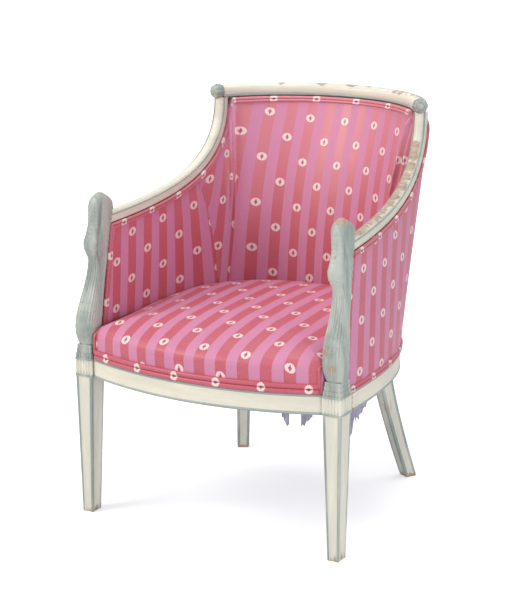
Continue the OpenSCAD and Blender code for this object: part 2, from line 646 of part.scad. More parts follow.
// Keys run in even steps up to the knob and in finer ones along the bend of the arm rail.
back_key_shares = [[0, 0], [0.12, 0.125], [0.24, 0.25], [0.36, 0.375], [0.48, 0.5], [0.60, 0.625],
    [0.72, 0.735], [0.78, 0.78], [0.835, 0.825], [0.88, 0.87], [0.92, 0.91], [0.96, 0.955], [1, 1]];
back_keys = [for (k = back_key_shares) [k[0] * seam_foot_share, k[1] * seam_top_share]];
arm_steps = 9;
function arm_keys(end) = [for (i = [0:arm_steps]) [
    lerp(seam_foot_share + seam_gap_share, end, i / arm_steps),
    lerp(seam_top_share + seam_gap_share, end, i / arm_steps)]];
function depth_pad(s, t) = cover_t + soft_gap + pad_t(s, t);
in_face = function (s, t) from_in(s, t, 0);
in_back = function (s, t) from_in(s, t, cover_t);
pad_face = function (s, t) from_in(s, t, cover_t + soft_gap);
pad_back = function (s, t) from_in(s, t, depth_pad(s, t));
canvas_face = function (s, t) from_in(s, t, depth_pad(s, t) + soft_gap);
canvas_back = function (s, t) from_in(s, t, depth_pad(s, t) + soft_gap + cloth_t);
web_face = function (s, t) from_in(s, t, depth_pad(s, t) + 2 * soft_gap + cloth_t);
web_back = function (s, t) from_in(s, t, depth_pad(s, t) + 2 * soft_gap + 2 * cloth_t);
// A slat's height runs from -0.5 at its foot to 0.5 at its top.
function slat_at(s, h, d) = let (t = h * slat_h / (inner_top(s).z - inside_z))
    from_in(s, t, depth_pad(s, t) + 4 * soft_gap + 2 * cloth_t + d);
slat_face = function (s, h) slat_at(s, h, 0);
slat_back = function (s, h) slat_at(s, h, slat_t);
inner_space = function (s, h) slat_at(s, h, -slat_h);
out_face = function (s, t) from_out(s, t, outside_t);
out_back = function (s, t) from_out(s, t, 0);
wall_rows = 6;
module back_layer(face0, face1) layer(mirrored(face0), mirrored(face1), both_sides(back_keys), 0, 1,
    wall_rows);
module arm_layer(face0, face1) layer(face0, face1, arm_keys(wall_end_share), 0, 1, wall_rows);
module inside_back_cover() place() color(rose) back_layer(in_face, in_back);
module back_stuffing() place() color(linen) back_layer(pad_face, pad_back);
module inside_arm_cover(left) place() sided(left) color(rose) arm_layer(in_face, in_back);
module arm_stuffing(left) place() sided(left) color(linen) arm_layer(pad_face, pad_back);
module back_hessian() place() color(linen) back_layer(canvas_face, canvas_back);
module arm_hessian(left) place() sided(left) color(linen) arm_layer(canvas_face, canvas_back);
// Each band of webbing runs between two keys of the back.
web_keys = [[-back_keys[5], -back_keys[4]], [-back_keys[3], -back_keys[2]],
    [-back_keys[1], back_keys[0], back_keys[1]], [back_keys[2], back_keys[3]], [back_keys[4], back_keys[5]]];
module back_webbing() place() color(linen) for (k = web_keys)
    layer(mirrored(web_face), mirrored(web_back), k, 0, 1, wall_rows);

outer_seam_share = 0.30;
outer_steps = 7;
outer_rows = 3;
outer_back_keys = [for (i = [0:outer_steps]) [1, 1] * outer_seam_share * i / outer_steps];
outer_arm_keys = [for (s = concat([outer_seam_share + seam_gap_share, 0.35, 0.40, 0.45, corner_share,
    corner_share + corner_run_share / 2, corner_share + corner_run_share], [for (i = [1:12])
    lerp(corner_share + corner_run_share, wall_end_share, i / 12)])) [s, s]];
module outside_back_cover() place() color(rose) layer(mirrored(out_face), mirrored(out_back),
    both_sides(outer_back_keys), 0, 1, outer_rows);
module outside_arm_cover(left) place() sided(left) color(rose) layer(out_face, out_back, outer_arm_keys,
    0, 1, outer_rows);

// Slats at seat height, behind the canvas of the tub wall and blocked out from the stiles
function foot_keys(keys) = [for (k = keys) [k[0], k[0]]];
module slat(face0, face1, keys) layer(face0, face1, foot_keys(keys), -0.5, 0.5, 1);
module stile_block() let (c = stile_at(inside_z)) translate([c.x, c.y, inside_z]) rotate([0, 0, -rear_turn])
    translate([-rear_leg_w / 2, -rear_leg_d / 2, over - slat_h / 2])
    cube([rear_leg_w, rear_leg_d / 2, slat_h - 2 * over]);
block_reach_shares = [0.25, 0.6];
block_steps = 8;
module back_stuffing_rail() place() color(raw_wood) difference() {
    union() {
        slat(mirrored(slat_face), mirrored(slat_back), both_sides(back_keys));
        for (left = [true, false]) sided(left) difference() {
            stile_block();
            layer(inner_space, slat_face, [for (i = [0:block_steps])
                [1, 1] * lerp(block_reach_shares[0], block_reach_shares[1], i / block_steps)], -1, 1, 1);
        }
    }
    for (left = [true, false]) sided(left) stile();
}
slat_end_share = 1.02;
slat_house = 4;
slat_cut_y = swan_rear(inside_z) - slat_house;
slat_in_x = slat_face(1, 0).x;
module arm_stuffing_rail(left) place() sided(left) color(raw_wood) difference() {
    slat(slat_face, slat_back, arm_keys(slat_end_share));
    translate([0, slat_cut_y - plan_depth, rail_top]) cube([plan_half_w, plan_depth, crest_z]);
}

// Seat: each key of its outline is on the front bow, at the front corner or along the tub wall.
bow_keys = 8;
seat_wall = concat([for (i = [arm_steps:-1:0]) arm_keys(1)[i]],
    [for (i = [9, 6, 5, 4, 3, 2, 1, 0]) back_keys[i]]);
seat_keys = bow_keys + len(seat_wall);
seat_corner = 6;
seat_gap = 1.3;
seat_side_x = min(inner_flat(1, 0).x - seat_gap, block_in_x - over);
function seat_bow_q(in) = asin((seat_side_x - seat_corner - in) / (bow_r - in));
function seat_wall_s(k, t = 0) = let (key = seat_wall[k - bow_keys - 1]) lerp(key[0], key[1], t);
function seat_edge(k, z, in) = k < bow_keys
    ? let (q = seat_bow_q(in) * k / (bow_keys - 1)) [(bow_r - in) * sin(q), bow_y - (bow_r - in) * cos(q)]
    : k == bow_keys ? [seat_side_x - in, bow_y - (bow_r - in) * cos(seat_bow_q(in)) + seat_corner]
    : let (t = max(0, (z - inside_z) / (inner_top(seat_wall_s(k)).z - inside_z)),
        p = from_in(seat_wall_s(k, t), t, -seat_gap - in)) [k == bow_keys + 1 ? min(p.x, seat_side_x - in)
        : p.x, p.y];
function seat_drop_at(k) = k <= bow_keys ? seat_drop
    : lerp(seat_back_drop, seat_drop, smooth(clamp01((seat_wall_s(k) - 0.7) / 0.3)));
// Heights of the seat's rings: share of the way out from its middle, then share of the drop there.
seat_ring_shares = [[1, 1], [0.985, 0.78], [0.95, 0.60], [0.89, 0.46], [0.78, 0.31], [0.6, 0.16],
    [0.35, 0.05], [0.1, 0]];
seat_top = rail_top + seat_crown;
pad_low = lip_top + cloth_t + 2 * soft_gap;
function seat_pt(k, share, z, in) = let (e = seat_edge(k, z, in))
    [e.x * share, seat_mid_y + (e.y - seat_mid_y) * share, z];
function seat_around(half) = concat(half,
    [for (i = [len(half) - 2:-1:1]) [-half[i].x, half[i].y, half[i].z]]);
function seat_ring(share, drop, in, sink) = seat_around([for (k = [0:seat_keys])
    seat_pt(k, share, seat_top - sink - seat_drop_at(k) * drop, in)]);
function seat_foot(low, in) = seat_around([for (k = [0:seat_keys])
    seat_pt(k, 1, k <= bow_keys ? low : pad_low, in)]);
seat_waist_share = 0.6;
function seat_waist(in, sink) = seat_around([for (k = [0:seat_keys]) seat_pt(k, 1,
    min(inside_z, lerp(pad_low, seat_top - sink - seat_drop_at(k), seat_waist_share)), in)]);
function seat_rings(in, sink, low) = concat([seat_foot(low, in), seat_waist(in, sink)],
    [for (s = seat_ring_shares) seat_ring(s[0], s[1], in, sink)]);
cover_low = rail_top + soft_gap;
module seat_cover() place() color(rose) loft(concat(flip(seat_rings(seat_cover_t, seat_cover_t,
    cover_low)), seat_rings(0, 0, cover_low)));
module seat_stuffing() place() color(linen)
    loft(seat_rings(seat_cover_t + seat_gap, seat_cover_t + seat_gap, pad_low));

// Plan of the whole seat frame, drawn in from its outer faces and notched round the legs
module rear_notch(at) translate(at) rotate(-rear_turn)
    square([rear_leg_w + 2 * over, rear_leg_d + 2 * over], center = true);
module frame_plan(in, leg_clear = over) difference() {
    intersection() {
        translate([0, bow_y]) circle(r = bow_r - in, $fn = 180);
        union() {
            for (left = [true, false]) mirror([left ? 0 : 1, 0]) polygon(concat([[0, 0]],
                [for (i = [0:40]) plan_pt(plan_half_w - in, plan_depth - in, plan_power, 90 * i / 40)]));
            translate([in - plan_half_w, -front_bow]) square([2 * (plan_half_w - in), front_bow + over]);
        }
    }
    for (left = [true, false]) mirror([left ? 0 : 1, 0]) {
        translate([block_in_x - leg_clear, -front_bow - over])
            square([block_w * 2, front_bow + over + block_d / 2 + leg_clear]);
        rear_notch(rear_at);
        rear_notch(stile_at(lip_top));
    }
}
// Bands of webbing, half a spring's pitch apart, so that each spring stands on a crossing
web_rows = 3;
web_step = spring_pitch / 2;
module seat_webbing() place() color(linen) {
    translate([0, 0, rail_z - cloth_t]) linear_extrude(cloth_t) intersection() {
        frame_plan(rail_t / 2);
        for (i = [-web_rows:web_rows]) translate([i * web_step - web_w / 2, -front_bow])
            square([web_w, front_bow + plan_depth]);
    }
    translate([0, 0, rail_z - 2 * cloth_t]) linear_extrude(cloth_t) intersection() {
        frame_plan(rail_t / 2);
        for (i = [-web_rows:web_rows]) translate([-plan_half_w, seat_mid_y + i * web_step - web_w / 2])
            square([2 * plan_half_w, web_w]);
    }
}
module spring_hessian() place() color(linen) translate([0, 0, lip_top]) linear_extrude(cloth_t)
    frame_plan(rail_rebate + soft_gap, lip_short);
spring_wire = 3.5;
spring_h = lip_top - rail_z;
module seat_springs() place() color(steel) for (i = [1:spring_rows], j = [1:spring_rows])
    translate([(i - (spring_rows + 1) / 2) * spring_pitch, seat_mid_y + (j - (spring_rows + 1) / 2)
        * spring_pitch, rail_z]) spring();
module spring() rotate_extrude($fn = 48) polygon([[spring_r - spring_wire, 0], [spring_r, 0],
    [spring_waist, spring_h / 2], [spring_r, spring_h], [spring_r - spring_wire, spring_h],
    [spring_waist - spring_wire, spring_h / 2]]);

// Doubled welts: a flat base with two rounded cords, swept along a path of frames.
welt_section_shares = [[-1, 0], [1, 0], [1, 0.6], [0.55, 1], [0, 0.55], [-0.55, 1], [-1, 0.6]];
// A frame is a point, the way across the welt and the way out of the surface.
function welt_ring(frame, w, h) = [for (s = welt_section_shares)
    frame[0] + frame[1] * s.x * w / 2 + frame[2] * s.y * h];
module welt(frames, w, h) loft([for (f = frames) welt_ring(f, w, h)]);
function wall_frame(face, key, at, to, clear, out) = let (s = lerp(key[0], key[1], at), p = face(s, at),
        away = unit(face(lerp(key[0], key[1], to), to) - p), way = out * mirrored(wall_way_at)(s, at))
    [p + way * welt_gap + away * (welt_w / 2 + clear), away, way];
wall_way_at = function (s, t) wall_way(s, t);
welt_gap = 0.8;
inside_welt_share = 0.6;
outside_welt_share = 0.4;
inside_welt_t = welt_t * inside_welt_share;
outside_welt_t = welt_t * outside_welt_share;
inside_keys = both_sides(concat(back_keys, [for (i = [1:arm_steps]) arm_keys(wall_end_share)[i]]));
outside_keys = both_sides(concat(outer_back_keys,
    [for (i = [1:len(outer_arm_keys) - 1]) outer_arm_keys[i]]));
module inside_welt() place() color(coral) welt(flip([for (key = inside_keys)
    wall_frame(mirrored(in_face), key, 1, 1 - 1 / wall_rows, soft_gap, -1)]), welt_w, inside_welt_t);
module outside_welt() place() color(coral) welt([for (key = outside_keys)
    wall_frame(mirrored(out_back), key, 1, 1 - 1 / outer_rows, soft_gap, 1)], welt_w, outside_welt_t);
module base_welt() place() color(coral) welt(flip([for (key = outside_keys)
    wall_frame(mirrored(out_back), key, 0, 1 / outer_rows, over, 1)]), welt_w, outside_welt_t);
bow_end_q = asin((block_in_x - welt_t) / bow_r);
module seat_front_welt() place() color(coral) translate([0, bow_y, rail_top + soft_gap])
    rotate([0, 0, -90 - bow_end_q]) rotate_extrude(angle = 2 * bow_end_q, $fn = 180)
    translate([bow_r + soft_gap, 0]) intersection() {
        union() {
            for (i = [1, 3]) translate([0, i * front_welt_w / 4]) circle(r = front_welt_w / 4, $fn = 32);
            square([front_welt_w / 8, front_welt_w]);
        }
        square([front_welt_w, front_welt_w]);
    }

// Dust cover with torn scraps that hang below the front and left rails
dust_z = rail_z - 3 * cloth_t - soft_gap;
scrap_steps = 8;
scrap_folds = 1.5;
tear_waves = 2.5;
tear_share = 0.16;
// Shares of each scrap: its place across and back, the turn of its top edge out of a right angle,
// its width, and its drop at either side.
scrap_shares = [[0.66, -0.055, 0.13, 0.36, 0.17, 0.43], [0.80, -0.030, 0.13, 0.55, 0.43, 0.11],
    [0.943, 0.095, 0.89, 0.95, 1, 0.49], [0.97, 0.183, 0.955, 1, 0.37, 0.63]];
module scrap(s) translate([s[0] * leg_x, s[1] * plan_depth, dust_z]) rotate([0, 0, 90 * s[2]])
    loft([for (i = [0:scrap_steps]) let (u = i / scrap_steps, x = (u - 0.5) * s[3] * scrap_w,
        d = scrap_drop * lerp(s[4], s[5], smooth(u)) * (1 - tear_share * sin(360 * tear_waves * u)),
        y = scrap_fold * sin(360 * scrap_folds * u))
        concat([for (v = [0:3]) [x, y * v / 3 - cloth_t / 2, over / 2 - (d + over / 2) * v / 3]],
            [for (v = [3:-1:0]) [x, y * v / 3 + cloth_t / 2, over / 2 - (d + over / 2) * v / 3]])],
        strip = true);
module dust_cover() place() color(lilac) {
    translate([0, 0, dust_z]) linear_extrude(cloth_t) frame_plan(rail_t / 3);
    for (s = scrap_shares) scrap(s);
}

front_leg(true);  // front_leg_left
front_leg(false);  // front_leg_right
rear_leg(true);  // rear_leg_left
rear_leg(false);  // rear_leg_right
front_seat_rail();
side_seat_rail(true);  // side_seat_rail_left
side_seat_rail(false);  // side_seat_rail_right
back_seat_rail();
swan_support(true);  // swan_support_left
swan_support(false);  // swan_support_right
arm_rail(true);  // arm_rail_left
arm_rail(false);  // arm_rail_right
crest_rail();
crest_knob(true);  // crest_knob_left
crest_knob(false);  // crest_knob_right
joint_dowels();
corner_blocks();
frame_screws();
back_stuffing_rail();
arm_stuffing_rail(true);  // arm_stuffing_rail_left
arm_stuffing_rail(false);  // arm_stuffing_rail_right
seat_webbing();
seat_springs();
spring_hessian();
seat_stuffing();
seat_cover();
back_webbing();
back_hessian();
arm_hessian(true);  // arm_hessian_left
arm_hessian(false);  // arm_hessian_right
back_stuffing();
arm_stuffing(true);  // arm_stuffing_left
arm_stuffing(false);  // arm_stuffing_right
inside_back_cover();
inside_arm_cover(true);  // inside_arm_cover_left
inside_arm_cover(false);  // inside_arm_cover_right
outside_back_cover();
outside_arm_cover(true);  // outside_arm_cover_left
outside_arm_cover(false);  // outside_arm_cover_right
seat_front_welt();
inside_welt();
outside_welt();
base_welt();
dust_cover();
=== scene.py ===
"""Bergere chair: painted and carved beech, striped silk over hair and springs.

Every piece is drawn in millimetres on the joiner's plan, where y is measured back from the line
through the front legs, and is then brought into the frame. Left and right are the sitter's: left is +X.
"""
from math import asin, cos, degrees, exp, pi, radians, sin, sqrt

import bmesh
import bpy
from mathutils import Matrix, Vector, noise


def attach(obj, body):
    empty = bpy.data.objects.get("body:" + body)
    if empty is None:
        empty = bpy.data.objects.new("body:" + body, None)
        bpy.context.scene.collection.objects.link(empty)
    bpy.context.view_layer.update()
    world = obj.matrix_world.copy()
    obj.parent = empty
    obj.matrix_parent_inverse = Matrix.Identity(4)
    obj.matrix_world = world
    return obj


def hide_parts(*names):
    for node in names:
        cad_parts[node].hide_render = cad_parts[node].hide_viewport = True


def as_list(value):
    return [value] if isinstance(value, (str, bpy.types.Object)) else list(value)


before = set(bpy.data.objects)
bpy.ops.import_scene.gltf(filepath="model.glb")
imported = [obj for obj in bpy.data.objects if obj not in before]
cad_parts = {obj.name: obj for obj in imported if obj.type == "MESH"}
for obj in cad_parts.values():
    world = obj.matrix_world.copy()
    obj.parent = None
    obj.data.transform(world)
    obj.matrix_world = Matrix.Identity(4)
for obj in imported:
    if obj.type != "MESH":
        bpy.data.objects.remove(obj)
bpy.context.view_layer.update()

# The joiner's plan, in millimetres
MM = 0.001
MID_Y = 289.9          # the chair's middle, behind the line through the front legs
RAIL_Z, RAIL_TOP, LIP_TOP, RAIL_T, RAIL_REBATE = 315, 357, 379, 26, 8
PLAN_HALF_W, PLAN_DEPTH, PLAN_POWER = 320, 545, 2.7
FRONT_BOW = 76
LEG_X, LEG_SPLAY, LEG_W, LEG_D, FOOT_W, FOOT_D = 300, 3, 42, 50, 26, 34
BLOCK_W, BLOCK_D = LEG_W + 2, LEG_D + 2
COLLAR_H = 29
BLOCK_IN_X = LEG_X - BLOCK_W / 2
REAR_JOINT_X, REAR_INSET, REAR_W, REAR_FOOT, REAR_TURN = 190, 27, 36, 29, 30
SABRE_SWEEP, SABRE_POWER = 91, 1.3
STILE_HALF_W, STILE_TURN = 15, 42
SWAN_Z, SWAN_H, SWAN_D, SWAN_W, SWAN_LEAN_IN = RAIL_TOP + COLLAR_H, 327, 61, 43, 11
CREST_R, CREST_Y, CREST_Z, CREST_H, CREST_T = 289, 355, 866, 28, 26
KNOB_TURN, KNOB_R, KNOB_REACH = 62.5, 17.5, 12
CREST_END = KNOB_TURN - degrees(KNOB_REACH / CREST_R)
ARM_W, ARM_H = 28, 24
BOW_RISE = FRONT_BOW - BLOCK_D / 2 + 8
BOW_R = (BLOCK_IN_X ** 2 + BOW_RISE ** 2) / (2 * BOW_RISE)
BOW_Y = BOW_R - FRONT_BOW
SEAT_TOP, SEAT_DROP, SEAT_BACK_DROP, SEAT_MID_Y = 457, 50, 16, 200
UP = Vector((0, 0, 1))


def mix(a, b, t):
    return a + (b - a) * t


def clamp(t):
    return min(1.0, max(0.0, t))


def smooth(t):
    t = clamp(t)
    return t * t * (3 - 2 * t)


def plan_point(a, b, power, turn):
    """A point of the rounded plan, from the side, turn 0, to the middle of the back, turn 90."""
    return Vector((a * max(0, cos(radians(turn))) ** (2 / power), b * max(0, sin(radians(turn))) ** (2 / power)))


def plan_x(a, b, power, y):
    return a * max(0, 1 - (max(0, y) / b) ** power) ** (1 / power)


def plan_turn(b, power, y):
    return degrees(asin((y / b) ** (power / 2)))


def crest_at(turn, r, z):
    """A point on the crest's arc, by its turn from the middle of the back."""
    return Vector((r * sin(radians(turn)), CREST_Y + r * cos(radians(turn)), z))


def circle(middle, out, r, n):
    """The corners of an upright round, of which out is one side."""
    return [middle + out * r * cos(2 * pi * k / n) + UP * r * sin(2 * pi * k / n) for k in range(n)]


def crowd(t, share):
    """A place from 0 to 1, drawn towards the nearer end."""
    return mix(t, 0.5 - 0.5 * cos(pi * t), share)


def through(rows, t):
    """A smooth line through rows of (place, value, value ...)."""
    if t <= rows[0][0]:
        return list(rows[0][1:])
    if t >= rows[-1][0]:
        return list(rows[-1][1:])
    i = max(k for k in range(len(rows) - 1) if rows[k][0] <= t)
    a, b = rows[i], rows[i + 1]
    before, after = rows[max(0, i - 1)], rows[min(len(rows) - 1, i + 2)]
    h = b[0] - a[0]
    u = (t - a[0]) / h
    out = []
    for k in range(1, len(a)):
        m0 = (b[k] - before[k]) / (b[0] - before[0]) * h
        m1 = (after[k] - a[k]) / (after[0] - a[0]) * h
        out.append((2 * u ** 3 - 3 * u ** 2 + 1) * a[k] + (u ** 3 - 2 * u ** 2 + u) * m0
                   + (3 * u ** 2 - 2 * u ** 3) * b[k] + (u ** 3 - u ** 2) * m1)
    return out


# Swans: height, front edge, rear edge, half widths in front and behind, depth of the groove between, as
# shares of SWAN_H, SWAN_D and SWAN_W
SWAN_ROWS = [
    (0.000, -0.33, 0.39, 0.40, 0.40, 0.00), (0.035, -0.44, 0.41, 0.46, 0.45, 0.00),
    (0.085, -0.53, 0.43, 0.50, 0.48, 0.00), (0.145, -0.56, 0.45, 0.50, 0.48, 0.00),
    (0.215, -0.49, 0.49, 0.47, 0.47, 0.00), (0.300, -0.31, 0.55, 0.43, 0.43, 0.00),
    (0.390, -0.10, 0.62, 0.36, 0.38, 0.00), (0.475, 0.05, 0.71, 0.31, 0.34, 0.02),
    (0.540, 0.08, 0.77, 0.27, 0.33, 0.05), (0.585, -0.01, 0.81, 0.25, 0.32, 0.08),
    (0.630, -0.12, 0.85, 0.33, 0.32, 0.12), (0.680, -0.15, 0.90, 0.35, 0.32, 0.15),
    (0.740, -0.05, 0.97, 0.30, 0.32, 0.18), (0.800, 0.05, 1.03, 0.28, 0.32, 0.19),
    (0.860, 0.07, 1.09, 0.29, 0.32, 0.18), (0.910, 0.09, 1.10, 0.31, 0.32, 0.14),
    (0.950, 0.15, 1.00, 0.31, 0.31, 0.07), (0.980, 0.25, 0.85, 0.25, 0.25, 0.02),
    (1.000, 0.42, 0.66, 0.12, 0.12, 0.00)]
ARM_Z = SWAN_Z + 269     # where the arm rail meets the swan


def swan_mid_x(z):
    return LEG_X - SWAN_LEAN_IN * (z - SWAN_Z) / SWAN_H


# The arm rail's curve: how far its two inner points lie from the swan to the crest, across, back and up
ARM_PULLS = ((0.43, 0.54, 0.062), (1, 1, 0.215))
KNOB_AT = crest_at(KNOB_TURN, CREST_R, CREST_Z + CREST_H / 2)
ARM_FRONT = Vector((swan_mid_x(ARM_Z), 55.2, ARM_Z))
ARM_TOP = Vector((KNOB_AT.x - 3, KNOB_AT.y + 9, CREST_Z))
ARM_PATH = [ARM_FRONT, *(Vector([mix(ARM_FRONT[k], ARM_TOP[k], pull[k]) for k in range(3)]) for pull in ARM_PULLS),
            ARM_TOP]


def arm_point(t):
    p, s = ARM_PATH, 1 - t
    return p[0] * s ** 3 + p[1] * 3 * t * s * s + p[2] * 3 * t * t * s + p[3] * t ** 3


def arm_way(t):
    p, s = ARM_PATH, 1 - t
    return ((p[1] - p[0]) * s * s + (p[2] - p[1]) * 2 * t * s + (p[3] - p[2]) * t * t).normalized()


def arm_side(t):
    way = arm_way(t)
    return (Vector((1, 0, 0)) - way * way.x).normalized()


def arm_up(t):
    return arm_side(t).cross(arm_way(t))


# The tub wall: place s runs from the middle of the back, 0, by the knob, CORNER, to the swan, 1, and
# height t from the wall's bottom edge, 0, to its top edge, 1. Places below 0 lie on the sitter's right.
CORNER, CORNER_RUN, CREST_RUN, TOP_GAP = 0.5, 0.03, 56, 1.0
ARM_LEAN, CORNER_LEAN = 0.13, 0.204
INSIDE_Z, INSIDE_HALF_W, INSIDE_DEPTH, INSIDE_POWER = 415, 285, 512, 2.6
COVER_T, OUTSIDE_T, BACK_PAD, ARM_PAD, TOP_PAD, SWELL = 2.5, 5, 6, 7, 2.5, 29
SOFT_GAP = 0.3
SHOW_END, SEAM_FOOT, SEAM_TOP, OUTER_SEAM = 1.0, 0.588, 0.734, 0.30     # where covers end and meet


def crest_edge(s, r):
    return crest_at(CREST_RUN * s / CORNER, r, CREST_Z - TOP_GAP)


def arm_edge(s, across):
    t = (1 - s) / (1 - CORNER)
    p = arm_point(t) + arm_side(t) * across - arm_up(t) * (ARM_H / 2 + TOP_GAP)
    return Vector((p.x, p.y, min(p.z, CREST_Z - TOP_GAP)))


def top_edge(s, across):
    r, w, turned = CREST_R + across * CREST_T / 2, across * ARM_W / 2, CORNER + CORNER_RUN
    if s < CORNER:
        return crest_edge(s, r)
    if s > turned:
        return arm_edge(s, w)
    return crest_edge(CORNER, r).lerp(arm_edge(turned, w), (s - CORNER) / CORNER_RUN)


def wall_foot(s, across, a, b, power, z):
    corner = top_edge(CORNER, across)
    y0 = corner.y - CORNER_LEAN * (corner.z - z)
    if s < CORNER:
        p = plan_point(a, b, power, mix(90, plan_turn(b, power, y0), s / CORNER))
        return Vector((p.x, p.y, z))
    end = top_edge(1, across)
    y = mix(y0, end.y - ARM_LEAN * (end.z - z), ((s - CORNER) / (1 - CORNER)) ** 2)
    return Vector((plan_x(a, b, power, y), y, z))


def outer_point(s, t):
    return wall_foot(s, 1, PLAN_HALF_W, PLAN_DEPTH, PLAN_POWER, RAIL_TOP + SOFT_GAP).lerp(top_edge(s, 1), t)


def inner_flat(s, t):
    return wall_foot(s, -1, INSIDE_HALF_W, INSIDE_DEPTH, INSIDE_POWER, INSIDE_Z).lerp(top_edge(s, -1), t)


def wall_way(s, t):
    d = outer_point(s, t) - inner_flat(s, t)
    return Vector((d.x, d.y, 0)).normalized()


def pad_depth(s, t):
    foot = BACK_PAD if s < CORNER else mix(BACK_PAD, ARM_PAD, (s - CORNER) / (1 - CORNER))
    return mix(foot, TOP_PAD, t)


def both_hands(face):
    """The same face on both sides of the chair, by the sign of its place."""
    def at(s, t, *rest):
        p = face(abs(s), t, *rest)
        return Vector((-p.x, p.y, p.z)) if s < 0 else p
    return at


def from_in(s, t, depth=0.0):
    swell = sin(pi * clamp(t)) * SWELL * (1 - smooth(min(1, s)))
    return inner_flat(s, t) + wall_way(s, t) * (depth - swell)


def from_out(s, t, depth=0.0):
    return outer_point(s, t) - wall_way(s, t) * depth


inside, outside, out_way = both_hands(from_in), both_hands(from_out), both_hands(wall_way)

# Finishes


def linear(hex_colour):
    """An sRGB hex colour as the linear values that a shader takes."""
    parts = [int(hex_colour[i:i + 2], 16) / 255 for i in (1, 3, 5)]
    return tuple(c / 12.92 if c <= 0.04045 else ((c + 0.055) / 1.055) ** 2.4 for c in parts) + (1,)


def add(tree, kind, *given, out=0, **settings):
    """Adds a node with its settings and fills its sockets, in order or as (socket, value), with numbers, hex
    colours or the outlets of other nodes. Returns the outlet asked for."""
    node = tree.nodes.new(kind)
    for name, value in settings.items():
        setattr(node, name, value)
    for place, value in enumerate(given):
        if isinstance(value, tuple) and len(value) == 2:
            place, value = value
        if isinstance(value, bpy.types.NodeSocket):
            tree.links.new(value, node.inputs[place])
        else:
            node.inputs[place].default_value = linear(value) if isinstance(value, str) else value
    return node.outputs[out] if len(node.outputs) else node


MATH, NOISE, STEP, BLEND = "ShaderNodeMath", "ShaderNodeTexNoise", "ShaderNodeMapRange", "ShaderNodeMix"
PLUS, LESS, TIMES, OVER = ({"operation": word} for word in ("ADD", "SUBTRACT", "MULTIPLY", "DIVIDE"))
SIZE, WHOLE, PART = ({"operation": word} for word in ("ABSOLUTE", "FLOOR", "FRACT"))
SOFT = {"interpolation_type": "SMOOTHSTEP"}
TINT = {"data_type": "RGBA", "out": 2}


def finish(name):
    """A new material and its node tree, empty."""
    made = bpy.data.materials.new(name)
    made.use_nodes = True
    made.node_tree.nodes.clear()
    return made, made.node_tree


# The woven cloth, in millimetres: a red and a mauve stripe together, and one wreath to the next below it
STRIPE, DROP = 46, 116
RING, LEAF = 6.9 * MM, 1.7 * MM      # a wreath's radius and half the length of a leaf
THREAD = 1100.0                      # drawn about three times the real 0.3 mm, as fine as the render can show


